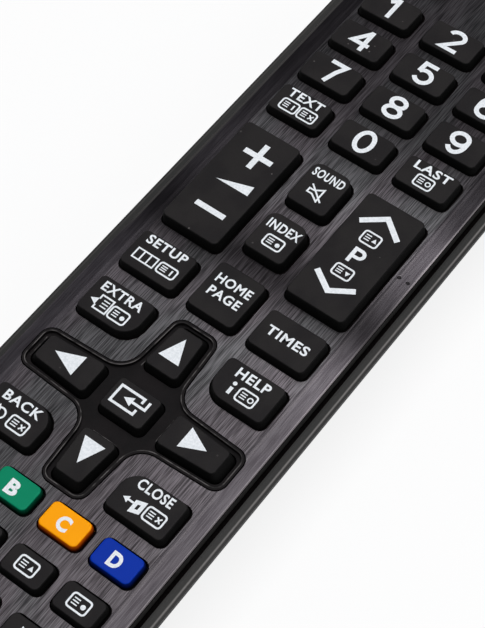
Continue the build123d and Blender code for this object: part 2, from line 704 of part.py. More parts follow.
def make_spring():
    """The coil that presses on the flat end of a cell, standing on z = 0."""
    path = spring_path()
    section = Plane(origin=path @ 0, z_dir=path % 0) * Circle(SPRING_WIRE / 2)
    return sweep(section, path)


def make_contacts():
    """The bridge at the -Y end, and the two contacts that reach up to the board."""
    left, right = -CELL_SPACING / 2, CELL_SPACING / 2
    half = CONTACT_WIDTH / 2
    foot = CELL_Z - CELL_DIAMETER / 2 + CONTACT_MARGIN
    low_z = (foot, CELL_Z + CELL_DIAMETER / 2 - CONTACT_MARGIN)
    board_z = (foot, BOARD_Z)
    end_ys = (BAY_END_Y, BAY_END_Y + CONTACT)
    start_ys = (BAY_START_Y - CONTACT, BAY_START_Y)
    # The left cell's flat end faces -Y, and the right cell's flat end faces +Y
    bridge = block((left - half, right + half), end_ys, low_z)
    bridge += Pos(left, end_ys[1] - SHELL_GAP, CELL_Z) * Rot(-90, 0, 0) * make_spring()
    minus = block((right - half, right + half), start_ys, board_z)
    minus += Pos(right, start_ys[0] + SHELL_GAP, CELL_Z) * Rot(90, 0, 0) * make_spring()
    plus = block((left - half, left + half), start_ys, board_z)
    return {"bridge_contact": bridge, "minus_contact": minus, "plus_contact": plus}


def make_screws():
    """The two shell screws, heads down, with a cross slot in each."""
    screws = []
    head_z = BOARD_Z - SCREW_HEAD_HEIGHT
    for x, y in screw_places():
        screw = post(x, y, (head_z, BOARD_Z), SCREW_HEAD)
        screw += post(x, y, (BOARD_Z, head_z + SCREW_HEAD_HEIGHT + SCREW_LENGTH - ROOF), SCREW)
        for turn in (0, 90):
            screw -= Pos(x, y, head_z) * Rot(0, 0, turn) * Box(SCREW_SLOT_LENGTH, SCREW_SLOT, SCREW_SLOT * 2)
        screws.append(screw)
    return Compound(children=screws)


def make_chip():
    """The controller under the board: a moulded block with a row of legs on each long side."""
    wide, long, tall = CHIP
    reach, lead_width, lead_thick = CHIP_LEAD
    y = PAD_Y + CHIP_FROM_PAD
    top = BOARD_Z - CHIP_STANDOFF
    chip = chamfer(Box(wide, long, tall).edges().filter_by(Axis.Y), CHIP_BEVEL)
    chip = Pos(0, y, top - tall / 2) * chip
    for side in (-1, 1):
        for index in range(CHIP_LEADS):
            lead_y = y + (index - (CHIP_LEADS - 1) / 2) * CHIP_LEAD_PITCH
            knee = sorted((side * (wide / 2 - lead_thick), side * (wide / 2 + reach / 2)))
            foot = sorted((side * (wide / 2 + reach / 2 - lead_thick), side * (wide / 2 + reach)))
            drop = sorted((side * (wide / 2 + reach / 2 - lead_thick), side * (wide / 2 + reach / 2)))
            ys = (lead_y - lead_width / 2, lead_y + lead_width / 2)
            middle = top - tall / 2
            chip += block(knee, ys, (middle - lead_thick / 2, middle + lead_thick / 2))
            chip += block(drop, ys, (middle - lead_thick / 2, BOARD_Z))
            chip += block(foot, ys, (BOARD_Z - lead_thick, BOARD_Z))
    return chip


def make_led():
    """The infrared lamp: a domed barrel along +Y and two bent leads up to the board."""
    z = BOARD_Z - LED_DROP - LED_COLLAR / 2
    tip = TOP_END - WALL - hull_draft(z) - LED_TO_WINDOW
    start = tip - LED_LENGTH
    barrel = Cylinder(LED / 2, LED_LENGTH - LED / 2, align=(Align.CENTER, Align.CENTER, Align.MIN))
    barrel += Pos(0, 0, LED_LENGTH - LED / 2) * Sphere(LED / 2)
    barrel += Cylinder(LED_COLLAR / 2, LED_COLLAR_LENGTH, align=(Align.CENTER, Align.CENTER, Align.MIN))
    led = Pos(0, start, z) * Rot(-90, 0, 0) * barrel
    for side in (-1, 1):
        x = side * LED_LEAD_SPACING / 2
        xs = (x - LED_LEAD / 2, x + LED_LEAD / 2)
        bend = start - LED_LEAD_REACH
        led += block(xs, (bend, start), (z - LED_LEAD / 2, z + LED_LEAD / 2))
        led += block(xs, (bend, bend + LED_LEAD), (z - LED_LEAD / 2, BOARD_Z))
    return led


def build():
    """Every piece of the remote control, by name."""
    places = plain_key_places()
    shell = hull_shell()
    pieces = {
        "face_plate": make_face_plate(places),
        "top_case": make_top_case(places),
        "bottom_case": make_bottom_case(shell),
        "battery_cover": make_battery_cover(shell),
        "infrared_window": shell & window_block(),
        "circuit_board": make_board(),
        "keypad_sheet": make_sheet(places),
        "direction_pad": make_pad(),
        "battery_left": make_cell(-CELL_SPACING / 2, 1),
        "battery_right": make_cell(CELL_SPACING / 2, -1),
        "case_screws": make_screws(),
        "controller_chip": make_chip(),
        "infrared_led": make_led(),
    }
    pieces.update(make_contacts())
    made = {}
    for name, x, y, top, rise in places:
        form = (id(top), rise)
        if form not in made:
            made[form] = plain_key(top, rise)
        pieces[name] = Pos(x, y, 0) * made[form]
    rocker = rocker_key(key_rectangle(ROCKER_KEY), ROCKER_RISE)
    pieces["volume_rocker"] = Pos(-ROCKER_X, ROCKER_Y, 0) * rocker
    pieces["channel_rocker"] = Pos(ROCKER_X, ROCKER_Y, 0) * rocker
    for name, top, base, contact in pad_keys():
        pieces[name] = Pos(0, PAD_Y, 0) * pad_key(top, base, contact)
    return pieces


os.makedirs("parts", exist_ok=True)
for node, shape in build().items():
    export_step(shape, f"parts/{node}.step")
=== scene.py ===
from math import atan2, cos, degrees, radians, sin

import bpy
import numpy as np
from mathutils import Matrix, Vector


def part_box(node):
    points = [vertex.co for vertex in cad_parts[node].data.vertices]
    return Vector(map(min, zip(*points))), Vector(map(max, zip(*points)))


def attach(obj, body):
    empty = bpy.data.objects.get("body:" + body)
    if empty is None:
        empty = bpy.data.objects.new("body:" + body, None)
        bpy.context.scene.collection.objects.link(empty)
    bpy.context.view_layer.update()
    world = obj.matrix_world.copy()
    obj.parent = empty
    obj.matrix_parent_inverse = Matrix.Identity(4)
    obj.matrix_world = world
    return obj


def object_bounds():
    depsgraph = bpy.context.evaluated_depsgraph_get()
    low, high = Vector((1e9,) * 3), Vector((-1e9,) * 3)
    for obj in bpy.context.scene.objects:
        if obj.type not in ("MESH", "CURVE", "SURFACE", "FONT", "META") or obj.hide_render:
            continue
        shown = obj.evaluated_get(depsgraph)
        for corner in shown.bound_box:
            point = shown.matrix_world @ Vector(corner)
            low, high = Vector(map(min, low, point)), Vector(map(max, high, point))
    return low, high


# A television remote control with rubber keys in a hairline-brushed plate.
# The frame gives every solid piece; this file gives the finishes, the printed marks,
# the light and the camera. Sizes below are millimetres unless they say otherwise.

MM = 0.001

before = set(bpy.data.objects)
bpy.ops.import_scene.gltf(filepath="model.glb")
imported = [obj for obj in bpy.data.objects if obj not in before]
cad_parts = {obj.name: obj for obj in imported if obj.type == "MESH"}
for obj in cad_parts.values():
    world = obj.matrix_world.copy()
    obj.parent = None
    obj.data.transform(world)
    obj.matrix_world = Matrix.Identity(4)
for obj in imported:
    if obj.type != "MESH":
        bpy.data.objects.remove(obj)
cad_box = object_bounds()

# Where the photograph was taken from
CAMERA_AIM = (3.634, 16.475, 19.4)
CAMERA_DISTANCE = 284.37
CAMERA_AZIMUTH = 38.94
CAMERA_ELEVATION = 58.0
CAMERA_ROLL = 2.163
CAMERA_LENS = 101.854

# Printing ink on the keys: how thick it is, and how much of that is sunk into the key
INK = 0.03
INK_SINK = 0.012
INK_STEP = 0.0015  # each part of a mark stands this much above the one before
LINE = 0.31  # the usual width of a line
CHEVRON = 1.0  # the width of the two bent bars' lines
INK_WEIGHT = 0.025  # how much a letter's outline is fattened, in letters one unit tall
BOLD_WEIGHT = 0.045  # the same for the letters on the coloured keys
LETTER_SPACING = 1.12
CAPITAL = 1.84  # the height of the words
DIGIT_LINE = 0.84
DIGIT_REACH = (1.5, 2.14)  # from a digit's middle to the middle of its line, across and up
DIGIT_MIDDLE = (0.2, 0.25)
RIGHT_SHIFT = -0.3  # of the digits in the right column

# The studio: how bright its ceiling is, and between which heights its white walls fade
# out, as the sine of the elevation
SKY_LEVEL = 0.25
WALL_TOP = (0.35, 0.65)

# Hairlines of the plate and the patches of tone across them: width across and length along
# the brushing, and a depth at which they don't change with height
FINE_HAIR = (0.13, 4.5, 50)
BROAD_HAIR = (0.6, 18.0, 50)
TONE_PATCH = (9.0, 24.0, 50)
HAIR_DEPTH = 0.01

# The plate's smooth margin, measured from its outer edge inwards. It is wider on the left. A
# glint is painted in as a highlight at two places, each with its middle and how far it reaches to both
# sides.
MARGIN_WIDTH = 3.1
MARGIN_BLEND = (-0.1, 0.2)
LEFT_EXTRA = 0.4
EDGE_GLINT = (0.08, 0.25)
INNER_GLINT = (2.6, 0.35)
INNER_SHARE = 0.45  # the inner glint is this much as strong
LEFT_EDGE_HIGHLIGHT = (0.45, 0.6)  # where the painted highlight along the left edge ends

# Two small pits on the right margin, from the middle of the resting face
PITS = ((19.85, 37.1), (21.55, 37.1))
PIT_RADIUS = 0.42
PIT_SHADE = 0.85
PIT_DEPTH = 4.7  # in hairline depths

# Painted light and dark bands across the plate, standing for soft reflections: the middle of
# each, half its length and its gain or loss in brightness
PAINTED_LIGHT_BANDS = ((43.0, 11.0, 1.2), (13.0, 12.0, 0.45))
PAINTED_DARK_BAND = (25.5, 9.5, -0.65)
LEFT_LIGHT_SHARE = 0.55  # the share of the gain that the left side has

# Painted light and shade along the plate: where each sets in, where it is complete and how much
# it is. The first two are painted shade at the top and at the foot, the third painted light on
# the left margin towards its foot. The last is the painted highlight along the left edge, which
# is there only above its foot.
PAINTED_SHADE_TOP = (55.0, 62.0, -0.25)
PAINTED_SHADE_FOOT = (-9.0, -20.0, -0.1)
PAINTED_LIGHT_LEFT = (36.0, -2.0, 1.1)
LEFT_EDGE_HIGHLIGHT_FOOT = (16.0, 23.0, 1.0)

# Grain of the rubber's skin and of the shells, which are from spark-eroded moulds
SKIN_GRAIN = 0.16
SPARK_GRAIN = 0.28
SPARK_DEPTH = 0.03

# Lint on the black keys: how far apart the specks are, how big, and the share that is missing
LINT_SPACING = 2.4
LINT_RADIUS = 0.16
LINT_BARE = 0.55

# How far the chip's legs and the lamp's leads reach out of their bodies, and the cells' bare
# steel at the end with the nub and at the flat end
CHIP_LEG = 1.3
LAMP_LEAD = 1.5
NUB_STEEL = 1.4
FLAT_STEEL = 0.6
CELL_BAND = 0.68  # where the cells' dark band starts, in cell lengths from the flat end
CELL_STRIPE = (0.66, 0.008)

# The openings in the plate, drawn in from the keys' flanges, and how wide the strip of painted
# shade round each is at least and at most. It is widest on the right, where it is a painted shadow of the
# key.
FLANGE = 0.5
OPENING_CORNER = 1.4
WIDE_CORNERS = {"sound_key": (2.3, 2.3, 1.4, 1.4), "list_key": (2.3, 2.3, 1.4, 1.4),
                "option_key": (1.4, 1.4, 1.4, 3.7), "help_key": (1.4, 1.4, 3.7, 1.4),
                "back_key": (3.7, 1.4, 1.4, 1.4), "close_key": (1.4, 3.7, 1.4, 1.4)}
OPENING_SHADE_WIDTH = (0.03, 0.28)
PAD_KEYS = ("up_key", "down_key", "left_key", "right_key", "enter_key")

# The body seen from above: the round of its corners and the bow of its ends
CORNER = 10.0
END_BOW = 1.8

# The rim: how far it lies below the plate, and, from the outer wall inwards, its shoulder,
# which carries a painted highlight, and the gap between it and the plate, lined with painted shade
RIM_DROP = 2.4
RIM_HEIGHT = 3.0
SHOULDER = (0.35, 0.75)
GAP = (1.75, 2.48)
GAP_DEPTH = 0.3
PROUD = 0.02  # a line laid on a solid stands this much above it

# The cross of the direction pad about its middle, clockwise from its upper arm: the corners
# of one quarter and the round of each. Then how far inside that line the crest of its lip
# runs, how far the lip stands above the plate and how deep the floor is, how wide the painted
# highlight lines are, and the brinks of the openings in the floor that get a painted highlight
# where they face the light.
CROSS_CORNERS = ((4.3, 17.68), (5.2, 4.87), (20.26, 4.15))
CROSS_ROUNDS = (2.3, 3.8, 2.3)
LIP_EDGE = 0.6
LIP_RISE = 0.1
PAD_FLOOR = 0.6
EDGE_LINE = 0.15
PAD_BRINK_HIGHLIGHTS = (((-3.75, 7.0), (-3.4, 12.0)), ((-19.1, -2.0), (-19.1, 2.2)),
              ((6.6, -2.4), (6.6, 2.4)), ((-2.4, -6.45), (2.4, -6.45)))

# The studio's floor and lamps, in metres: where each lamp stands, where it points, how large
# it is and its watts
FLOOR_REACH = 3.0
FLOOR_DROP = 0.00002  # clear of the resting face, so that the two don't flicker
FLOOR_GLOW = 0.84  # the share of white that the camera and mirrors see in the floor
OVERHEAD_LAMP = ((0.03, 0.06, 0.75), (0.03, 0.06, 0), (0.5, 0.72), 4.6)
SIDE_LAMP = ((0.6, 0.5, 0.45), (0, 0, 0), (0.4, 0.4), 1.4)


def linear(code):
    """A linear colour from an sRGB hex code."""
    parts = [int(code[i:i + 2], 16) / 255 for i in (1, 3, 5)]
    return tuple(c / 12.92 if c <= 0.04045 else ((c + 0.055) / 1.055) ** 2.4 for c in parts) + (1.0,)


def add(tree, kind, inputs=None, **settings):
    """Add a shader node: settings are its properties, inputs are values or sockets to join."""
    node = tree.nodes.new(kind)
    for name, value in settings.items():
        setattr(node, name, value)
    for key, value in (inputs or {}).items():
        if isinstance(value, bpy.types.NodeSocket):
            tree.links.new(value, node.inputs[key])
        else:
            node.inputs[key].default_value = value
    return node


def finish(name, even):
    """A new material; gives its tree and its surface shader, whose even values are set here."""
    material = bpy.data.materials.new(name)
    material.use_nodes = True
    shader = material.node_tree.nodes["Principled BSDF"]
    for key, value in even.items():
        shader.inputs[key].default_value = value
    return material, material.node_tree, shader


def feed(shader, name, value):
    """Join a socket to one of the surface shader's inputs."""
    shader.id_data.links.new(value, shader.inputs[name])


def grain(tree, sizes, detail=2.0, roughness=0.5):
    """Noise whose cells measure these sizes along X, Y and Z of the object."""
    place = add(tree, "ShaderNodeTexCoord").outputs["Object"]
    scaled = add(tree, "ShaderNodeMapping", {"Vector": place, "Scale": [1 / (MM * size) for size in sizes]})
    noise = add(tree, "ShaderNodeTexNoise",
                {"Vector": scaled.outputs[0], "Scale": 1.0, "Detail": detail, "Roughness": roughness})
    return noise.outputs["Fac"]


def math(tree, operation, *values, clamp=False):
    """One arithmetic step on sockets or numbers."""
    node = add(tree, "ShaderNodeMath", dict(enumerate(values)), operation=operation, use_clamp=clamp)
    return node.outputs[0]


def spread(tree, value, low, high, out_low=0.0, out_high=1.0):
    """A smooth step from one value to another."""
    node = add(tree, "ShaderNodeMapRange", {"Value": value, "From Min": low, "From Max": high,
               "To Min": out_low, "To Max": out_high}, interpolation_type="SMOOTHSTEP")
    return node.outputs[0]


def mix_colour(tree, share, first, second):
    """A colour between two colours; each is an sRGB hex code or a socket."""
    first, second = (linear(c) if isinstance(c, str) else c for c in (first, second))
    return add(tree, "ShaderNodeMix", {0: share, 6: first, 7: second}, data_type="RGBA").outputs[2]


def bump(tree, shader, height, depth, strength=0.5):
    """Relief of this depth in millimetres, from a height between 0 and 1."""
    node = add(tree, "ShaderNodeBump", {"Height": height, "Distance": depth * MM, "Strength": strength})
    feed(shader, "Normal", node.outputs[0])


def axes(tree, output="Object"):
    """The object's own X, Y and Z as sockets."""
    place = add(tree, "ShaderNodeTexCoord").outputs[output]
    return add(tree, "ShaderNodeSeparateXYZ", {0: place}).outputs


def facing_up(tree, low, high):
    """0 on upright walls and 1 on flat tops."""
    normal = add(tree, "ShaderNodeNewGeometry").outputs["Normal"]
    upward = add(tree, "ShaderNodeSeparateXYZ", {0: normal}).outputs["Z"]
    return spread(tree, upward, low, high)


def brushed_film():
    """The plate round the keys.

    Real finish: a dark smoky film, hairline-brushed along its length, over a moulded ABS
    plate. The eye sees long fine grey lines, purplish in places, and a smoother margin. Painted
    into the colour are highlights at the edges, light and dark bands standing for soft
    reflections, and a highlight along the left edge.
    """
    material, tree, shader = finish("brushed_film", {"Metallic": 0.9, "Specular Tint": linear("#808080")})
    fine = grain(tree, FINE_HAIR, detail=1.0, roughness=0.6)
    broad = grain(tree, BROAD_HAIR, detail=1.0)
    tone = spread(tree, grain(tree, TONE_PATCH, detail=1.0), 0.38, 0.62)
    lines = math(tree, "ADD", math(tree, "MULTIPLY", fine, 0.93), math(tree, "MULTIPLY", broad, 0.07))
    lines = spread(tree, lines, 0.3, 0.7)
    dark = mix_colour(tree, tone, "#2a2a2b", "#2d2a2c")
    light = mix_colour(tree, tone, "#5c5b5d", "#605b5f")
    hair = mix_colour(tree, lines, dark, light)
    inset = math(tree, "SUBTRACT", plate_half_width(), math(tree, "ABSOLUTE", axes(tree)["X"]))
    left = left_right_share(tree, 1.0, 0.0)
    reach = math(tree, "SUBTRACT", inset, math(tree, "MULTIPLY", left, LEFT_EXTRA * MM))
    start, end = (MARGIN_WIDTH + blend for blend in MARGIN_BLEND)
    margin = spread(tree, reach, start * MM, end * MM, 1.0, 0.0)
    smooth = mix_colour(tree, math(tree, "MULTIPLY", lines, 0.5), "#2f2c2f", "#4c494c")
    # Painted highlights: a glint at the plate's edge and one along the margin's inner line, stronger on the
    # right.
    glint = math(tree, "MAXIMUM", ridge(tree, inset, *EDGE_GLINT),
                 math(tree, "MULTIPLY", ridge(tree, inset, *INNER_GLINT), INNER_SHARE))
    painted_highlight = math(tree, "MULTIPLY", glint, left_right_share(tree, 0.15, 0.85))
    smooth = mix_colour(tree, painted_highlight, smooth, "#6e696c")
    film = mix_colour(tree, margin, hair, smooth)
    # Painted reflections: light and dark bands along the plate scale the film's colour.
    film = add(tree, "ShaderNodeVectorMath", {0: film, "Scale": sheen(tree, margin, left)},
               operation="SCALE").outputs[0]
    # A painted highlight along the left edge, above its foot.
    start, end = LEFT_EDGE_HIGHLIGHT
    edge = spread(tree, inset, start * MM, end * MM, 1.0, 0.0)
    edge = math(tree, "MULTIPLY", edge, ramp(tree, axes(tree)["Y"], *LEFT_EDGE_HIGHLIGHT_FOOT))
    film = mix_colour(tree, math(tree, "MULTIPLY", edge, left), film, "#5b5957")
    film = mix_colour(tree, facing_up(tree, 0.3, 0.6), "#232021", film)
    pit = math(tree, "MULTIPLY", spots(tree, PITS, PIT_RADIUS), PIT_SHADE)
    feed(shader, "Base Color", mix_colour(tree, pit, film, "#0c0b0b"))
    feed(shader, "Roughness", spread(tree, margin, 0.0, 1.0, 0.34, 0.27))
    relief = math(tree, "MULTIPLY", lines, spread(tree, margin, 0.0, 1.0, 1.0, 0.3))
    relief = math(tree, "SUBTRACT", relief, math(tree, "MULTIPLY", pit, PIT_DEPTH))
    bump(tree, shader, relief, HAIR_DEPTH)
    return material


def sheen(tree, margin, left):
    """How many times as bright the film is at each place along the plate: 1, and the gain or
    loss of each painted light or dark band. The painted light bands are stronger on the right,
    and painted light on the left margin grows towards its foot."""
    y = axes(tree)["Y"]
    middle, half, change = PAINTED_DARK_BAND
    gain = math(tree, "ADD", 1.0, math(tree, "MULTIPLY", ridge(tree, y, middle, half), change))
    for middle, half, change in PAINTED_LIGHT_BANDS:
        band = math(tree, "MULTIPLY", ridge(tree, y, middle, half), change)
        gain = math(tree, "ADD", gain, math(tree, "MULTIPLY", band, left_right_share(tree, LEFT_LIGHT_SHARE, 1.0)))
    for start, end, change in (PAINTED_SHADE_TOP, PAINTED_SHADE_FOOT):
        gain = math(tree, "ADD", gain, ramp(tree, y, start, end, change))
    # Painted light on the left margin, growing towards its foot.
    pale = math(tree, "MULTIPLY", math(tree, "MULTIPLY", margin, left), ramp(tree, y, *PAINTED_LIGHT_LEFT))
    return math(tree, "ADD", gain, pale)


def ramp(tree, value, start, end, change):
    """A change that sets in at one place and is complete at another, in millimetres, in
    either direction."""
    if start < end:
        return spread(tree, value, start * MM, end * MM, 0.0, change)
    return spread(tree, value, end * MM, start * MM, change, 0.0)


def left_right_share(tree, left, right):
    """A share that runs from its value on the left to its value on the right; the painted
    highlights and reflections use it to be stronger on the right. It turns between half way left and the
    right edge."""
    return spread(tree, axes(tree)["X"], -0.5 * plate_half_width(), plate_half_width(), left, right)


def ridge(tree, value, middle, half):
    """A share that rises to 1 at a place and falls to 0 half a width, in millimetres, away."""
    away = math(tree, "ABSOLUTE", math(tree, "SUBTRACT", value, middle * MM))
    return spread(tree, away, 0.0, half * MM, 1.0, 0.0)


def spots(tree, places, radius):
    """A share of 1 within round spots at these places, X and Y in millimetres."""
    x, y, _ = axes(tree)
    share = 0.0
    for across, along in places:
        dx = math(tree, "SUBTRACT", x, across * MM)
        dy = math(tree, "SUBTRACT", y, along * MM)
        square = math(tree, "ADD", math(tree, "MULTIPLY", dx, dx), math(tree, "MULTIPLY", dy, dy))
        away = math(tree, "SQRT", square)
        share = math(tree, "MAXIMUM", spread(tree, away, radius * 0.6 * MM, radius * MM, 1.0, 0.0), share)
    return share


def plate_half_width():
    """Half width of the plate, in metres."""
    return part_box("face_plate")[1].x


def moulded_abs():
    """Both shells and the cover.

    Real finish: black ABS from a spark-eroded mould. The eye sees a fine even grain that
    turns the black to a soft dark grey, with a faint olive cast. A painted highlight runs along
    the rim's shoulder, stronger on the right.
    """
    material, tree, shader = finish("moulded_abs", {"Specular IOR Level": 0.25, "IOR": 1.53})
    fine = grain(tree, (SPARK_GRAIN,) * 3)
    drift = grain(tree, (14, 30, 9), detail=1.0)
    even = mix_colour(tree, spread(tree, drift, 0.35, 0.65), "#171716", "#1d1c1b")
    speckled = mix_colour(tree, spread(tree, fine, 0.4, 0.75, 0.0, 0.3), even, "#343230")
    x, y, z = axes(tree)
    sides = math(tree, "SUBTRACT", cad_box[1].x, math(tree, "ABSOLUTE", x))
    ends = math(tree, "SUBTRACT", cad_box[1].y, math(tree, "ABSOLUTE", y))
    inset = math(tree, "MINIMUM", sides, ends)
    # A painted highlight along the rim's shoulder, stronger on the right.
    rim = math(tree, "GREATER_THAN", z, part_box("top_case")[1].z - RIM_HEIGHT * MM)
    low, high = SHOULDER
    painted_highlight = math(tree, "MULTIPLY", rim, ridge(tree, inset, (low + high) / 2, (high - low) * 0.6))
    painted_highlight = math(tree, "MULTIPLY", painted_highlight, left_right_share(tree, 0.2, 1.0))
    feed(shader, "Base Color", mix_colour(tree, painted_highlight, speckled, "#6a6765"))
    feed(shader, "Roughness", spread(tree, fine, 0.3, 0.7, 0.5, 0.62))
    bump(tree, shader, fine, SPARK_DEPTH)
    return material


def mottle(tree, size, low=0.3, high=0.7):
    """An even mottle from 0 to 1 with patches of this size."""
    return spread(tree, grain(tree, (size,) * 3), low, high)


def lint(tree):
    """A share above 0 on tiny scattered specks, stronger on some than on others."""
    place = add(tree, "ShaderNodeTexCoord").outputs["Object"]
    cells = add(tree, "ShaderNodeTexVoronoi", {"Vector": place, "Scale": 1 / (LINT_SPACING * MM)})
    near = math(tree, "LESS_THAN", cells.outputs["Distance"], LINT_RADIUS / LINT_SPACING)
    tint = add(tree, "ShaderNodeSeparateXYZ", {0: cells.outputs["Color"]}).outputs
    kept = math(tree, "GREATER_THAN", tint["X"], LINT_BARE)
    return math(tree, "MULTIPLY", math(tree, "MULTIPLY", near, kept), tint["Y"])


def rubber_skin(tree, shader, smooth, rough, depth):
    """The fine skin of moulded silicone: its roughness runs between two values."""
    fine = grain(tree, (SKIN_GRAIN,) * 3, detail=1.0)
    feed(shader, "Roughness", spread(tree, fine, 0.3, 0.7, smooth, rough))
    bump(tree, shader, fine, depth)


def key_silicone():
    """The black keys.

    Real finish: matt silicone rubber. The eye sees flat charcoal tops with a trace of warm
    tint and lint; the walls are painted near black as shade.
    """
    material, tree, shader = finish("key_silicone", {"Specular IOR Level": 0.16, "IOR": 1.41})
    drift = grain(tree, (5, 7, 5))
    top = mix_colour(tree, spread(tree, drift, 0.35, 0.65), "#1a1819", "#201e1e")
    top = mix_colour(tree, math(tree, "MULTIPLY", lint(tree), 0.7), top, "#6c6866")
    # The walls are painted near black as shade.
    shade = mix_colour(tree, facing_up(tree, 0.75, 0.95), "#020202", top)
    feed(shader, "Base Color", shade)
    rubber_skin(tree, shader, 0.58, 0.72, 0.012)
    return material


def pad_silicone():
    """The cross that the direction keys stand in.

    Real finish: the same matt silicone, sunk below the plate. The eye sees a floor darker
    than the keys, with a thin lip that catches a little light.
    """
    material, tree, shader = finish("pad_silicone", {"Specular IOR Level": 0.12, "IOR": 1.41})
    drift = mottle(tree, 4, 0.35, 0.65)
    feed(shader, "Base Color", mix_colour(tree, drift, "#121011", "#171415"))
    rubber_skin(tree, shader, 0.58, 0.72, 0.012)
    return material


def painted_pad_highlight():
    """Painted highlights on the crest of the pad's lip and the brinks of the openings in its floor.

    A thin broken line on the silicone, lighter than the rubber on both sides of it, painted where
    these edges catch the light, brighter in some places than in others.
    """
    even = {"Specular IOR Level": 0.2, "IOR": 1.41, "Roughness": 0.5}
    material, tree, shader = finish("painted_pad_highlight", even)
    tone = mottle(tree, 1.6, 0.4, 0.65)
    feed(shader, "Base Color", mix_colour(tree, tone, "#1a1818", "#595655"))
    return material


def painted_gap_shade():
    """The gap between the plate and the rim, and the brinks of the plate's openings.

    Painted shade: black ABS in narrow slots that hardly any light reaches, seen as a black
    line, and the keys' painted shadows beside their openings.
    """
    even = {"Specular IOR Level": 0.02, "IOR": 1.53, "Roughness": 0.9}
    material, tree, shader = finish("painted_gap_shade", even)
    feed(shader, "Base Color", mix_colour(tree, mottle(tree, 0.4), "#030202", "#080606"))
    return material


def tinted_silicone(name, top, shaded_wall, foot):
    """One of the four coloured keys.

    Real finish: silicone coloured in the mass, a little glossier than the black keys. The
    eye sees an even bright top; the walls are painted darker as shade and fall to a painted dark
    line of shadow at the plate.
    """
    material, tree, shader = finish(name, {"Specular IOR Level": 0.1, "IOR": 1.41})
    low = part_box("face_plate")[1].z
    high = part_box("colour_key_a")[1].z
    # The walls are painted darker than the top as shade, and darker still towards the plate as a painted
    # shadow.
    height = spread(tree, axes(tree)["Z"], low, high - 0.1 * MM)
    lid = mix_colour(tree, math(tree, "MULTIPLY", mottle(tree, 3), 0.06), top, shaded_wall)
    side = mix_colour(tree, height, foot, shaded_wall)
    feed(shader, "Base Color", mix_colour(tree, facing_up(tree, 0.3, 0.8), side, lid))
    rubber_skin(tree, shader, 0.4, 0.5, 0.008)
    return material


def sheet_silicone():
    """The sheet under the keys.

    Real finish: mid-grey silicone, moulded in a polished tool. The eye sees a soft satin.
    """
    even = {"Specular IOR Level": 0.35, "IOR": 1.41, "Roughness": 0.5}
    material, tree, shader = finish("sheet_silicone", even)
    feed(shader, "Base Color", mix_colour(tree, mottle(tree, 2.5), "#3c3c3d", "#474748"))
    return material


def ink():
    """The marks on the keys.

    Real finish: white screen-printing ink. The eye sees a flat cool white, thinner in spots.
    """
    material, tree, shader = finish("ink", {"Specular IOR Level": 0.2, "Roughness": 0.7})
    feed(shader, "Base Color", mix_colour(tree, mottle(tree, 0.35), "#dadfe2", "#ebeef1"))
    return material


def filter_plastic():
    """The window over the infrared lamp.

    Real finish: polished acrylic, dyed so dark a red that it looks black until light falls
    through it.
    """
    material, tree, shader = finish("filter_plastic", {"IOR": 1.49, "Roughness": 0.08, "Coat Weight": 0.3})
    feed(shader, "Base Color", mix_colour(tree, mottle(tree, 6), "#19060a", "#2a090f"))
    return material


def board_lacquer():
    """The printed board.

    Real finish: green solder resist over copper tracks on glass laminate. The eye sees
    darker lanes where the tracks run under the lacquer.
    """
    material, tree, shader = finish("board_lacquer", {"IOR": 1.5, "Roughness": 0.3})
    place = add(tree, "ShaderNodeTexCoord").outputs["Object"]
    tracks = add(tree, "ShaderNodeTexBrick", {"Vector": place, "Scale": 1 / (9 * MM), "Mortar Size": 0.03,
                 "Color1": linear("#1e4a2c"), "Color2": linear("#21512f"), "Mortar": linear("#3f7a46")})
    weave = spread(tree, grain(tree, (0.5, 0.5, 0.5)), 0.35, 0.65, 0.0, 0.18)
    feed(shader, "Base Color", mix_colour(tree, weave, tracks.outputs["Color"], "#16371f"))
    bump(tree, shader, tracks.outputs["Fac"], 0.03, 1.0)
    return material


def chip_epoxy():
    """The controller chip.

    Real finish: black moulded epoxy with a fine texture, and tinned legs.
    """
    material, tree, shader = finish("chip_epoxy", {"IOR": 1.55})
    low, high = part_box("controller_chip")
    body = (high.x - low.x) / 2 - CHIP_LEG * MM
    leg = math(tree, "GREATER_THAN", math(tree, "ABSOLUTE", axes(tree)["X"]), body)
    tone = mottle(tree, 0.3)
    black = mix_colour(tree, tone, "#1a1a1b", "#252526")
    feed(shader, "Base Color", mix_colour(tree, leg, black, "#b9bbbd"))
    feed(shader, "Metallic", leg)
    feed(shader, "Roughness", spread(tree, tone, 0.0, 1.0, 0.42, 0.55))
    return material


def lamp_epoxy():
    """The infrared lamp.

    Real finish: clear epoxy with a blue-violet tint, and tinned leads behind its collar.
    """
    material, tree, shader = finish("lamp_epoxy", {"IOR": 1.55, "Roughness": 0.1, "Coat Weight": 0.4})
    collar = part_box("infrared_led")[0].y + LAMP_LEAD * MM
    lead = math(tree, "LESS_THAN", axes(tree)["Y"], collar)
    clear = mix_colour(tree, mottle(tree, 2), "#3a3e5c", "#474c6e")
    feed(shader, "Base Color", mix_colour(tree, lead, clear, "#c2c4c6"))
    feed(shader, "Metallic", lead)
    return material


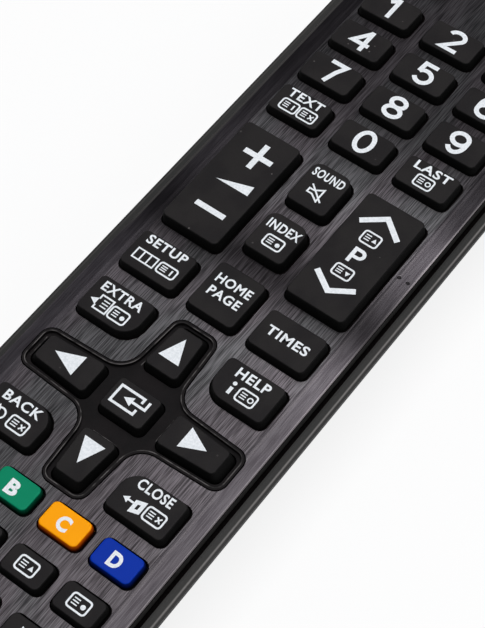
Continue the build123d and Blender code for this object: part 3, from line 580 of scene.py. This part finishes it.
def cell_foil(name, node, nub_side):
    """One dry cell.

    Real finish: a printed foil jacket, silver with a dark blue-grey band at the nub end, and
    bare nickelled steel at both ends.
    """
    material, tree, shader = finish(name, {"IOR": 1.5})
    low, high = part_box(node)
    start, end = (low.y, high.y) if nub_side > 0 else (high.y, low.y)
    length = abs(end - start)
    along = math(tree, "DIVIDE", math(tree, "SUBTRACT", axes(tree)["Y"], start), end - start)
    band = math(tree, "GREATER_THAN", along, CELL_BAND)
    stripe = math(tree, "COMPARE", along, *CELL_STRIPE)
    shell_end = math(tree, "ADD", math(tree, "GREATER_THAN", along, 1 - NUB_STEEL * MM / length),
                     math(tree, "LESS_THAN", along, FLAT_STEEL * MM / length), clamp=True)
    brushed = spread(tree, grain(tree, (0.2, 6, 0.2)), 0.3, 0.7)
    silver = mix_colour(tree, brushed, "#a9acb1", "#bdc0c5")
    jacket = mix_colour(tree, band, silver, "#2c3947")
    jacket = mix_colour(tree, stripe, jacket, "#d98e2b")
    feed(shader, "Base Color", mix_colour(tree, shell_end, jacket, "#c9cacb"))
    metal = math(tree, "SUBTRACT", 1.0, math(tree, "MULTIPLY", band, 0.8))
    metal = math(tree, "MAXIMUM", math(tree, "MULTIPLY", metal, 0.75), shell_end)
    feed(shader, "Metallic", metal)
    feed(shader, "Roughness", spread(tree, brushed, 0.0, 1.0, 0.28, 0.36))
    return material


def plated_steel(name, dark, light, rough):
    """Springs, contacts and screws.

    Real finish: drawn or stamped steel with a thin bright plating. The eye sees a soft
    mirror with fine drawing lines.
    """
    material, tree, shader = finish(name, {"Metallic": 1.0})
    tone = spread(tree, grain(tree, (0.15, 0.15, 2.0)), 0.3, 0.7)
    feed(shader, "Base Color", mix_colour(tree, tone, dark, light))
    feed(shader, "Roughness", spread(tree, tone, 0.0, 1.0, rough, rough + 0.1))
    return material


def dress(material, *nodes):
    """Give CAD nodes a finish."""
    for node in nodes:
        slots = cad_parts[node].data.materials
        slots.clear()
        slots.append(material)


def arc(centre, radius, start, end, steps):
    """Points along a circle between two angles, in degrees."""
    angles = np.radians(np.linspace(start, end, steps + 1))
    return np.stack([centre[0] + radius * np.cos(angles), centre[1] + radius * np.sin(angles)], 1)


def rounded_path(corners, radii, steps=4):
    """A closed line whose corners are arcs that touch both runs: an arc starts its radius
    times the tangent of half the turn before the corner, and its centre lies square to that
    run on the side of the turn."""
    points = np.array(corners, float)
    radii = np.broadcast_to(radii, len(points))
    before = points - np.roll(points, 1, 0)
    before /= np.linalg.norm(before, axis=1, keepdims=True)
    after = np.roll(before, -1, 0)
    turn = np.arctan2(before[:, 0] * after[:, 1] - before[:, 1] * after[:, 0], (before * after).sum(1))
    start = points - before * (radii * np.tan(abs(turn) / 2))[:, None]
    arm = np.stack([before[:, 1], -before[:, 0]], 1) * (radii * np.sign(turn))[:, None]
    angle = turn[:, None] * np.linspace(0, 1, steps + 1)
    swung_x = arm[:, :1] * np.cos(angle) - arm[:, 1:] * np.sin(angle)
    swung_y = arm[:, :1] * np.sin(angle) + arm[:, 1:] * np.cos(angle)
    return ((start - arm)[:, None] + np.stack([swung_x, swung_y], 2)).reshape(-1, 2)


def rounded_box(left, right, low, high, radius):
    """The outline of a rectangle with round corners, counter-clockwise from its upper right.
    One radius serves all four, or each has its own."""
    return rounded_path([(right, high), (left, high), (left, low), (right, low)], radius)


def body_line(inset):
    """The body's plan drawn in by an inset: straight sides, and ends that lie on a circle
    through both shoulders and the tip, joined by corner arcs a corner's radius inside both."""
    half, tip = cad_box[1].x / MM, cad_box[1].y / MM
    circle = (half ** 2 + END_BOW ** 2) / (2 * END_BOW)
    middle = tip - circle
    across = half - CORNER
    along = middle + ((circle - CORNER) ** 2 - across ** 2) ** 0.5
    turn = degrees(atan2(along - middle, across))
    quarter = np.concatenate([arc((across, along), CORNER - inset, 0, turn, 12),
                              arc((0, middle), circle - inset, turn, 90, 12)[1:]])
    upper = np.concatenate([quarter, (quarter * (-1, 1))[::-1][1:]])
    return np.concatenate([upper, -upper])


def slab(outline):
    """An outline filled and given the ink's thickness: the same points below and above."""
    flat = np.array(outline, float)
    count = len(flat)
    points = np.concatenate([np.c_[flat, np.zeros(count)], np.c_[flat, np.ones(count)]])
    ring = np.arange(count)
    after = (ring + 1) % count
    walls = np.stack([ring, after, after + count, ring + count], 1).tolist()
    return points, [ring[::-1].tolist(), (ring + count).tolist(), *walls]


def sideways(path, closed):
    """The step to the left of each point that keeps a line at unit distance: it is square to
    the mean of the two runs that meet there, and longer where they turn."""
    after = np.roll(path, -1, 0) - path
    before = path - np.roll(path, 1, 0)
    if not closed:
        after[-1] = before[-1]
        before[0] = after[0]
    after /= np.linalg.norm(after, axis=1, keepdims=True)
    before /= np.linalg.norm(before, axis=1, keepdims=True)
    mean = after + before
    mean /= np.linalg.norm(mean, axis=1, keepdims=True)
    reach = 1 / np.clip((mean * after).sum(1), 0.4, 1.0)
    return np.stack([-mean[:, 1], mean[:, 0]], 1) * reach[:, None]


def stroke(points, width=LINE, closed=False):
    """A line given a width: each point steps half a width to both sides. The width is one
    number, or a column with one for each point."""
    path = np.array(points, float)
    count = len(path)
    side = sideways(path, closed) * width / 2
    rails = [np.c_[path + side * way, np.full(count, level)] for level in (0, 1) for way in (1, -1)]
    runs = np.arange(count if closed else count - 1)
    ends = (runs + 1) % count
    left, right, upper_left, upper_right = (np.arange(4) * count)[:, None] + runs
    left_end, right_end, upper_left_end, upper_right_end = (np.arange(4) * count)[:, None] + ends
    faces = [np.stack(quad, 1) for quad in (
        (upper_right, upper_right_end, upper_left_end, upper_left),
        (left, left_end, right_end, right),
        (right, right_end, upper_right_end, upper_right),
        (upper_left, upper_left_end, left_end, left))]
    faces = np.concatenate(faces).tolist()
    if not closed:
        last = count - 1
        faces.append([0, count, 3 * count, 2 * count])
        faces.append([last, last + 2 * count, last + 3 * count, last + count])
    return np.concatenate(rails), faces


def letters(text, across, upright, weight=INK_WEIGHT):
    """Plain capitals, drawn about one unit tall and fitted to a width and a height."""
    curve = bpy.data.curves.new("letters", "FONT")
    curve.body = text
    curve.offset = weight
    curve.extrude = 0.5
    curve.space_character = LETTER_SPACING
    curve.resolution_u = 4
    holder = bpy.data.objects.new("letters", curve)
    mesh = bpy.data.meshes.new_from_object(holder)
    points = np.zeros(len(mesh.vertices) * 3)
    mesh.vertices.foreach_get("co", points)
    points = points.reshape(-1, 3)
    faces = [list(face.vertices) for face in mesh.polygons]
    bpy.data.objects.remove(holder)
    bpy.data.curves.remove(curve)
    bpy.data.meshes.remove(mesh)
    low, high = points.min(0), points.max(0)
    share = (points - low) / (high - low)
    (left, right), (foot, head) = across, upright
    return np.c_[left + share[:, 0] * (right - left), foot + share[:, 1] * (head - foot), share[:, 2]], faces


def oval(centre, radii, start, end, steps=20):
    """Points along an ellipse between two angles, in degrees."""
    return np.array(centre) + arc((0, 0), 1, start, end, steps) * radii


def digit_lines(digit):
    """The runs that a digit is drawn with, in a box from -1 to 1: first the open ones, then
    those that close."""
    six = ([[oval((0, 0), (1, 1), 36, 180, 16), (-1, -0.4)]], [oval((0, -0.4), (1, 0.6), 0, 348)])
    runs = {
        0: ([], [oval((0, 0), (1, 1), 0, 350, 35)]),
        1: ([[(-0.72, 0.5), (0.02, 0.86), (0.2, 1.15)], [(0.2, 1.15), (0.2, -1.15)]], []),
        2: ([[oval((0, 0.48), (0.95, 0.52), 168, -32, 18), (-1, -1), (1.05, -1)]], []),
        3: ([[oval((-0.02, 0.52), (0.86, 0.48), 162, -90, 18)],
             [oval((-0.02, -0.48), (1, 0.52), 90, -162, 18)]], []),
        4: ([[(1.15, -0.42), (-1.05, -0.42), (0.48, 1.02)], [(0.48, 1.15), (0.48, -1.15)]], []),
        5: ([[(0.92, 1), (-0.72, 1), (-0.86, 0.02)], [oval((0, -0.34), (1, 0.66), 146, -156, 20)]], []),
        6: six,
        7: ([[(-1.05, 1), (1, 1), (0.3, 0.1), (-0.28, -1.15)]], []),
        8: ([], [oval((0, 0.52), (0.9, 0.48), 0, 348), oval((0, -0.48), (1, 0.52), 0, 348)]),
        9: six,
    }
    return runs[digit]


def digit_marks(digit):
    """A digit in one line of even width; a nine is a six turned round."""
    turn = -1 if digit == 9 else 1
    opened, closed = digit_lines(digit)
    middle = np.array(DIGIT_MIDDLE) + ((RIGHT_SHIFT, 0) if digit in (3, 6, 9) else (0, 0))
    marks = []
    for runs, shut in ((opened, False), (closed, True)):
        for run in runs:
            points = run if shut else np.concatenate([np.reshape(piece, (-1, 2)) for piece in run])
            marks.append(stroke(points * np.array(DIGIT_REACH) * turn + middle, DIGIT_LINE, shut))
    return marks


def middle_of(node):
    """The middle of a node's box, in metres."""
    low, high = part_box(node)
    return (low + high) / 2


def make_piece(name, parts, place, material, body):
    """One piece made of several parts, each its points and faces in millimetres about a
    place in metres, that moves with a body."""
    points, faces, count = [], [], 0
    for part, part_faces in parts:
        points.append(part)
        faces += [[index + count for index in face] for face in part_faces]
        count += len(part)
    mesh = bpy.data.meshes.new(name)
    mesh.from_pydata((np.concatenate(points) * MM + place).tolist(), [], faces)
    mesh.validate()
    mesh.materials.append(material)
    piece = bpy.data.objects.new(name, mesh)
    bpy.context.scene.collection.objects.link(piece)
    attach(piece, body)


def raised(part, low, high):
    """A flat part whose thickness runs between two heights."""
    points, faces = part
    return np.c_[points[:, :2], low + points[:, 2] * (high - low)], faces


def print_marks(node, marks, material):
    """Print marks on a key: they stand on its top face, about its middle, and ride with it."""
    place = (*middle_of(node).xy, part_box(node)[1].z)
    parts = [raised(part, -INK_SINK, INK - INK_SINK + order * INK_STEP) for order, part in enumerate(marks)]
    make_piece(f"{node}_print", parts, place, material, node)


def page_icon(left, right, low, high, mark):
    """A small screen with lines of text and one sign at its right."""
    marks = [stroke(rounded_box(left, right, low, high, 0.5), closed=True)]
    middle = (left + right) / 2
    for row in (0.32, 0.52, 0.72):
        y = low + (high - low) * row
        marks.append(stroke([(left + 0.5, y), (middle - 0.1, y)], 0.2))
    x, y = middle + (right - middle) * 0.48, (low + high) / 2
    if mark == "dot":
        marks.append(slab(arc((x, y - 0.1), 0.42, 0, 345, 15)))
    elif mark == "ring":
        marks.append(stroke(arc((x, y), 0.42, 0, 337.5, 15), 0.22, closed=True))
    elif mark == "bar":
        marks.append(stroke([(x, y - 0.55), (x, y + 0.55)], 0.3))
    elif mark == "cross":
        marks += [stroke([(x - 0.4, y - rise), (x + 0.4, y + rise)], 0.26) for rise in (0.45, -0.45)]
    elif mark == "up":
        marks.append(slab([(x - 0.45, y - 0.35), (x + 0.45, y - 0.35), (x, y + 0.5)]))
    elif mark == "down":
        marks.append(slab([(x - 0.45, y + 0.35), (x, y - 0.5), (x + 0.45, y + 0.35)]))
    return marks


def word(text, left, right, low):
    """A function word in small capitals."""
    return letters(text, (left, right), (low, low + CAPITAL))


def triangle(tip, base, half):
    """A solid triangle from the middle of its base to its tip."""
    base, tip = np.array(base, float), np.array(tip, float)
    way = (tip - base) / np.linalg.norm(tip - base)
    side = np.array([-way[1], way[0]]) * half
    return slab([tip, base + side, base - side])


def power_marks():
    """A ring open at the top, with a bar through the opening."""
    return [stroke(arc((0, -0.1), 1.45, 120, 420, 30), 0.42), stroke([(0, 0.35), (0, 1.95)], 0.42)]


def source_marks():
    """A frame with an arrow going in."""
    return [stroke([(-0.6, -1.3), (2.4, -1.3), (2.4, 1.4), (-0.6, 1.4)], 0.34),
            stroke([(-2.6, 0.05), (0.2, 0.05)], 0.34), triangle((1.2, 0.05), (-0.1, 0.05), 0.75)]


def speaker_marks():
    """A loudspeaker in outline with a bar across it."""
    body = [(-1.45, -1.65), (-0.5, -1.65), (0.95, -2.6), (0.95, 0.1), (-0.5, -0.85), (-1.45, -0.85)]
    return [stroke(body, closed=True), stroke([(-1.5, 0.15), (1.7, -2.45)], 0.3)]


def loop_marks():
    """An arrow that bends back on itself."""
    ring = arc((-2.1, -1.25), 0.95, -160, 130, 20)
    return [stroke(ring, 0.32), triangle((-3.6, -0.95), (-2.6, -0.35), 0.6)]


def door_marks():
    """A door frame with an arrow leaving it."""
    return [stroke([(-1.35, -2.1), (-0.2, -1.75), (-0.2, -0.15), (-1.35, -0.5)], 0.66, closed=True),
            stroke([(-1.7, -0.9), (-2.9, -0.9)], 0.34), triangle((-3.7, -0.9), (-2.7, -0.9), 0.62)]


def p_marks():
    """A capital P from two lines."""
    bowl = [(-0.75, 1.25), (0.3, 1.25), *arc((0.35, 0.48), 0.77, 80, -80, 10), (0.3, -0.29), (-0.75, -0.29)]
    return [stroke([(-0.78, -1.65), (-0.78, 1.56)], 0.68), stroke(bowl, 0.62)]


def tool_marks():
    """A list with an arrow that points away from it."""
    page = [(-2.9, -0.5), (-2.9, 0.35), (-0.5, 0.35), (-0.5, -2.4), (-2.9, -2.4), (-2.9, -1.7)]
    rows = [stroke([(-2.1, y), (-0.9, y)], 0.22) for y in (-0.35, -0.95, -1.55)]
    return [stroke(page, 0.3), *rows, triangle((-4.3, -1.1), (-3.0, -1.1), 0.7)]


def grid_marks():
    """A box with three compartments."""
    marks = [stroke([(-4.0, -1.95), (0.1, -1.95), (0.1, 0.05), (-4.0, 0.05)], 0.28, closed=True)]
    return marks + [stroke([(x, -1.85), (x, -0.05)], 0.28) for x in (-2.63, -1.27)]


def enter_marks():
    """A frame, open at the right, with a bent arrow that ends inside it."""
    box = [(1.5, 0.85), (1.5, 1.75), (-3.0, 1.75), (-3.0, -1.45), (1.5, -1.45), (1.5, -0.5)]
    hook = [(2.6, 1.75), (2.6, 0.2), (0.0, 0.2)]
    return [stroke(box, 0.44), stroke(hook, 0.44), triangle((-1.5, 0.2), (0.15, 0.2), 0.85)]


def chevron(middle, half, rise, y):
    """A bent bar: two runs that meet above or below their ends."""
    return stroke([(middle - half, y), (middle, y + rise), (middle + half, y)], CHEVRON)


def plus_outline(centre, reach, half):
    """The twelve corners of a plus sign, from its reach and half its bar's width: three
    corners, turned by a quarter three times."""
    arm = np.array([(half, reach), (-half, reach), (-half, half)])
    quarter = np.array([[0, 1], [-1, 0]])
    arms = [arm @ np.linalg.matrix_power(quarter, turn) for turn in range(4)]
    return np.concatenate(arms) + centre


def volume_marks():
    """A plus, a wedge that grows to the right, and a minus."""
    wedge = slab([(-2.6, -0.98), (3.85, -0.95), (3.75, 1.15)])
    return [slab(plus_outline((0.45, 6.6), 2.82, 0.52)), wedge, stroke([(-2.4, -6.72), (3.5, -6.72)], 1.05)]


def channel_marks():
    """Two bent bars that point away from each other, a letter and two small screens."""
    marks = [chevron(0.05, 3.75, 2.9, 6.1), chevron(0.1, 3.8, -2.45, -5.7)]
    marks += p_marks()
    marks += page_icon(-1.6, 1.6, 2.8, 5.25, "up")
    return marks + page_icon(-1.7, 1.7, -4.95, -2.7, "down")


def transport_marks():
    """The marks of the six tape keys."""
    return {
        "rewind_key": [triangle((-2.5, 0), (-0.1, 0), 1.3), triangle((0.0, 0), (2.4, 0), 1.3)],
        "pause_key": [stroke([(x, -1.3), (x, 1.3)], 0.8) for x in (-0.8, 0.8)],
        "forward_key": [triangle((0.0, 0), (-2.4, 0), 1.3), triangle((2.5, 0), (0.1, 0), 1.3)],
        "record_key": [slab(arc((0, 0), 1.35, 0, 350, 35))],
        "play_key": [triangle((1.6, 0), (-1.0, 0), 1.5)],
        "stop_key": [slab([(-1.2, -1.2), (1.2, -1.2), (1.2, 1.2), (-1.2, 1.2)])],
    }


def all_marks():
    """Every printed mark by key, in millimetres about the key's middle."""
    marks = {f"key_{digit}": digit_marks(digit) for digit in range(10)}
    marks["power_key"] = power_marks()
    marks["source_key"] = source_marks()
    marks["text_key"] = [word("TEXT", -3.4, 3.6, 0.8), *page_icon(-3.2, 0.1, -2.2, 0.1, "bar"),
                         *page_icon(0.5, 3.8, -2.2, 0.1, "cross")]
    marks["last_key"] = [word("LAST", -3.4, 3.6, 0.8), *page_icon(-1.75, 1.55, -2.1, 0.25, "ring")]
    marks["sound_key"] = [word("SOUND", -3.0, 3.1, 1.65), *speaker_marks()]
    marks["list_key"] = [word("INDEX", -2.9, 3.4, 0.95), *page_icon(-1.45, 2.0, -2.35, -0.1, "dot")]
    marks["volume_rocker"] = volume_marks()
    marks["channel_rocker"] = channel_marks()
    marks["menu_key"] = [word("SETUP", -4.0, 3.9, 1.55), *grid_marks(),
                         *page_icon(0.75, 4.2, -1.95, 0.1, "bar")]
    marks["home_key"] = [word("HOME", -3.3, 3.5, 1.0), word("PAGE", -3.0, 3.2, -1.7)]
    marks["guide_key"] = [word("TIMES", -3.9, 4.0, -0.8)]
    marks["option_key"] = [word("EXTRA", -4.1, 3.9, 1.05), *tool_marks(),
                           *page_icon(-0.1, 3.2, -2.45, -0.1, "dot")]
    marks["help_key"] = [word("HELP", -2.9, 3.3, 1.0), *page_icon(-0.6, 2.7, -2.35, 0.0, "ring"),
                         stroke([(-1.9, -2.2), (-1.9, -0.85)], 0.6),
                         slab(arc((-1.9, -0.1), 0.36, 0, 340, 17))]
    marks["back_key"] = [word("BACK", -3.7, 3.6, 1.05), *loop_marks(),
                         *page_icon(-0.1, 3.3, -2.45, -0.1, "cross")]
    marks["close_key"] = [word("CLOSE", -3.2, 3.3, 1.4), *door_marks(),
                          *page_icon(0.6, 4.0, -2.15, 0.2, "cross")]
    marks["enter_key"] = enter_marks()
    for column, letter in enumerate("ABCD"):
        sign = ("ring", "bar", "up", "dot")[column]
        marks[f"colour_key_{letter.lower()}"] = [letters(letter, (-1.25, 0.9), (-1.45, 1.15), BOLD_WEIGHT)]
        marks[f"function_key_{column + 1}"] = page_icon(-1.7, 1.7, -1.2, 1.2, sign)
    marks.update(transport_marks())
    return marks


def arrow_marks():
    """The four solid triangles of the direction pad, about the pad's middle."""
    return {"up_key": triangle((-0.1, 14.1), (-0.1, 9.5), 2.0),
            "down_key": triangle((-0.05, -12.95), (-0.05, -8.5), 2.0),
            "left_key": triangle((-15.5, 0.25), (-10.65, 0.25), 2.0),
            "right_key": triangle((14.65, 0.3), (10.4, 0.3), 2.0)}


def opening_shade(node):
    """The strip of painted shade round one key's opening, widening to a painted shadow on its
    right: it follows the opening's outline, and its width grows with how far the outline faces right."""
    low, high = (np.array(corner[:2]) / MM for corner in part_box(node))
    (left, foot), (right, head) = low + FLANGE, high - FLANGE
    line = rounded_box(left, right, foot, head, WIDE_CORNERS.get(node, OPENING_CORNER))
    outward = -sideways(line, True)
    least, most = OPENING_SHADE_WIDTH
    width = least + (most - least) * np.clip(outward[:, :1], 0, 1)
    return stroke(line + outward * width / 2, width, closed=True)


def laid(part, level):
    """A flat part that lies on a face at this height: half of it stands above the face."""
    return raised(part, level - PROUD, level + PROUD)


def opening_shade_strips(plate_top):
    """The strips of painted shade round the openings in the plate, one for each key outside the pad."""
    keys = [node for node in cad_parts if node.endswith(("_rocker", "_key")) or "key_" in node]
    return [laid(opening_shade(node), plate_top) for node in keys if node not in PAD_KEYS]


def gap_shade_line(rim):
    """The painted shade in the gap round the plate, a black line: the body's line half way across
    the gap, as wide as the gap."""
    near, far = GAP
    line = stroke(body_line((near + far) / 2), far - near, closed=True)
    return [raised(line, rim - GAP_DEPTH, rim + PROUD)]


def pad_highlight_lines(plate_top):
    """The painted highlights on the crest of the pad's lip, which is the cross's line drawn in, and
    on the brinks of the openings in the pad's floor that face the light, all about the pad's middle."""
    quarter = np.array(CROSS_CORNERS)
    right = np.concatenate([quarter, (quarter * (1, -1))[::-1]])
    line = rounded_path(np.concatenate([right, -right]), np.tile(CROSS_ROUNDS, 4), 8)
    line = line - sideways(line, True) * LIP_EDGE
    crest = laid(stroke(line, EDGE_LINE, closed=True), plate_top + LIP_RISE)
    return [crest] + [laid(stroke(brink, EDGE_LINE), plate_top - PAD_FLOOR) for brink in PAD_BRINK_HIGHLIGHTS]


def painted_edge_lines():
    """The thin lines of painted shade and painted highlight along the edges of the plate and the pad, in
    three pieces.
    """
    plate_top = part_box("face_plate")[1].z / MM
    # Painted shade round the openings and in the gap round the plate, and painted highlights on the pad.
    dark = painted_gap_shade()
    make_piece("opening_shades", opening_shade_strips(plate_top), (0, 0, 0), dark, "remote")
    make_piece("plate_gap_shade", gap_shade_line(plate_top - RIM_DROP), (0, 0, 0), dark, "remote")
    place = (*middle_of("direction_pad").xy, 0)
    make_piece("pad_highlights", pad_highlight_lines(plate_top), place, painted_pad_highlight(), "remote")


def print_everything():
    """All the marks, each as one piece on its key."""
    white = ink()
    for node, marks in all_marks().items():
        print_marks(node, marks, white)
    for node, (points, faces) in arrow_marks().items():
        shift = (middle_of("direction_pad") - middle_of(node)) / MM
        points[:, :2] += (shift.x, shift.y)
        print_marks(node, [(points, faces)], white)


def finish_everything():
    """Give every node its material: the black keys' to all, and then the others' over it."""
    # Each coloured key: its top, its wall with painted shade, and its foot with a painted shadow.
    coloured = {"colour_key_a": ("key_red", "#c4141b", "#86090e", "#220203"),
                "colour_key_b": ("key_green", "#02805c", "#004d35", "#00180f"),
                "colour_key_c": ("key_yellow", "#fba200", "#d25a00", "#3a0e00"),
                "colour_key_d": ("key_blue", "#002f9e", "#001a66", "#00061c")}
    dress(key_silicone(), *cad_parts)
    dress(pad_silicone(), "direction_pad")
    for node, (name, *tints) in coloured.items():
        dress(tinted_silicone(name, *tints), node)
    dress(brushed_film(), "face_plate")
    dress(moulded_abs(), "top_case", "bottom_case", "battery_cover")
    dress(sheet_silicone(), "keypad_sheet")
    dress(filter_plastic(), "infrared_window")
    dress(board_lacquer(), "circuit_board")
    dress(chip_epoxy(), "controller_chip")
    dress(lamp_epoxy(), "infrared_led")
    dress(cell_foil("cell_foil_left", "battery_left", 1), "battery_left")
    dress(cell_foil("cell_foil_right", "battery_right", -1), "battery_right")
    spring = plated_steel("nickelled_spring", "#a8a69f", "#c9c7c0", 0.22)
    dress(spring, "bridge_contact", "minus_contact", "plus_contact")
    dress(plated_steel("zinc_screw", "#8f9294", "#b3b6b8", 0.3), "case_screws")


def soft_box(name, place, aim, size, power):
    """A square soft light, placed and aimed in metres."""
    lamp = bpy.data.lights.new(name, "AREA")
    lamp.shape = "RECTANGLE"
    lamp.size, lamp.size_y = size
    lamp.energy = power
    light = bpy.data.objects.new(name, lamp)
    light.location = place
    light.rotation_euler = (Vector(aim) - Vector(place)).to_track_quat("-Z", "Y").to_euler()
    bpy.context.scene.collection.objects.link(light)


def make_floor():
    """A pale floor, which the camera and mirrors see as white paper."""
    mesh = bpy.data.meshes.new("floor")
    square = np.array([(-1, -1, 0), (1, -1, 0), (1, 1, 0), (-1, 1, 0)])
    mesh.from_pydata((square * FLOOR_REACH - (0, 0, FLOOR_DROP)).tolist(), [], [(0, 1, 2, 3)])
    floor = bpy.data.objects.new("floor", mesh)
    bpy.context.scene.collection.objects.link(floor)
    paper = bpy.data.materials.new("paper")
    paper.use_nodes = True
    tree = paper.node_tree
    tree.nodes.clear()
    matt = add(tree, "ShaderNodeBsdfDiffuse", {"Color": linear("#f6f6f6")})
    glow = add(tree, "ShaderNodeEmission", {"Color": linear("#ffffff"), "Strength": 1.0})
    direct, mirrored = view_rays(tree)
    share = math(tree, "MULTIPLY", math(tree, "MAXIMUM", direct, mirrored), FLOOR_GLOW)
    both = add(tree, "ShaderNodeMixShader", {0: share, 1: matt.outputs[0], 2: glow.outputs[0]})
    add(tree, "ShaderNodeOutputMaterial", {0: both.outputs[0]})
    mesh.materials.append(paper)


def make_sky():
    """A plain even ceiling and white walls, which only what is polished mirrors. The camera
    sees plain white."""
    world = bpy.data.worlds.new("studio")
    bpy.context.scene.world = world
    world.use_nodes = True
    tree = world.node_tree
    tree.nodes.clear()
    sky = add(tree, "ShaderNodeBackground", {0: linear("#f4f6ff"), 1: SKY_LEVEL})
    white = add(tree, "ShaderNodeBackground", {0: linear("#ffffff"), 1: 1.0})
    direct, mirrored = view_rays(tree)
    walls = spread(tree, axes(tree, "Generated")["Z"], *WALL_TOP, 1.0, 0.0)
    share = math(tree, "MAXIMUM", direct, math(tree, "MULTIPLY", mirrored, walls))
    both = add(tree, "ShaderNodeMixShader", {0: share, 1: sky.outputs[0], 2: white.outputs[0]})
    add(tree, "ShaderNodeOutputWorld", {0: both.outputs[0]})


def view_rays(tree):
    """1 on rays straight from the camera, also through clear parts, and 1 on mirrored rays."""
    seen = add(tree, "ShaderNodeLightPath").outputs
    return math(tree, "MAXIMUM", seen["Is Camera Ray"], seen["Is Transmission Ray"]), seen["Is Glossy Ray"]


def make_studio():
    """A white floor and sky, and two soft boxes."""
    make_floor()
    make_sky()
    soft_box("overhead", *OVERHEAD_LAMP)
    soft_box("side", *SIDE_LAMP)


def make_camera():
    """Stand the camera where the photograph's perspective puts it: turned by azimuth and
    elevation about the point it looks at, then rolled about its own line of sight."""
    turn, lift, roll = map(radians, (CAMERA_AZIMUTH, CAMERA_ELEVATION, CAMERA_ROLL))
    back = Vector((sin(turn) * cos(lift), -cos(turn) * cos(lift), sin(lift)))
    level = Vector((cos(turn), sin(turn), 0))
    rise = back.cross(level)
    right = level * cos(roll) - rise * sin(roll)
    up = rise * cos(roll) + level * sin(roll)
    lens = bpy.data.cameras.new("camera")
    lens.lens = CAMERA_LENS
    camera = bpy.data.objects.new("camera", lens)
    place = (Vector(CAMERA_AIM) + back * CAMERA_DISTANCE) * MM
    camera.matrix_world = Matrix((
        (right.x, up.x, back.x, place.x), (right.y, up.y, back.y, place.y),
        (right.z, up.z, back.z, place.z), (0, 0, 0, 1)))
    lens.clip_start = 0.01
    bpy.context.scene.collection.objects.link(camera)
    bpy.context.scene.camera = camera
    bpy.context.scene.view_settings.view_transform = "Standard"


finish_everything()
painted_edge_lines()
print_everything()
make_studio()
make_camera()
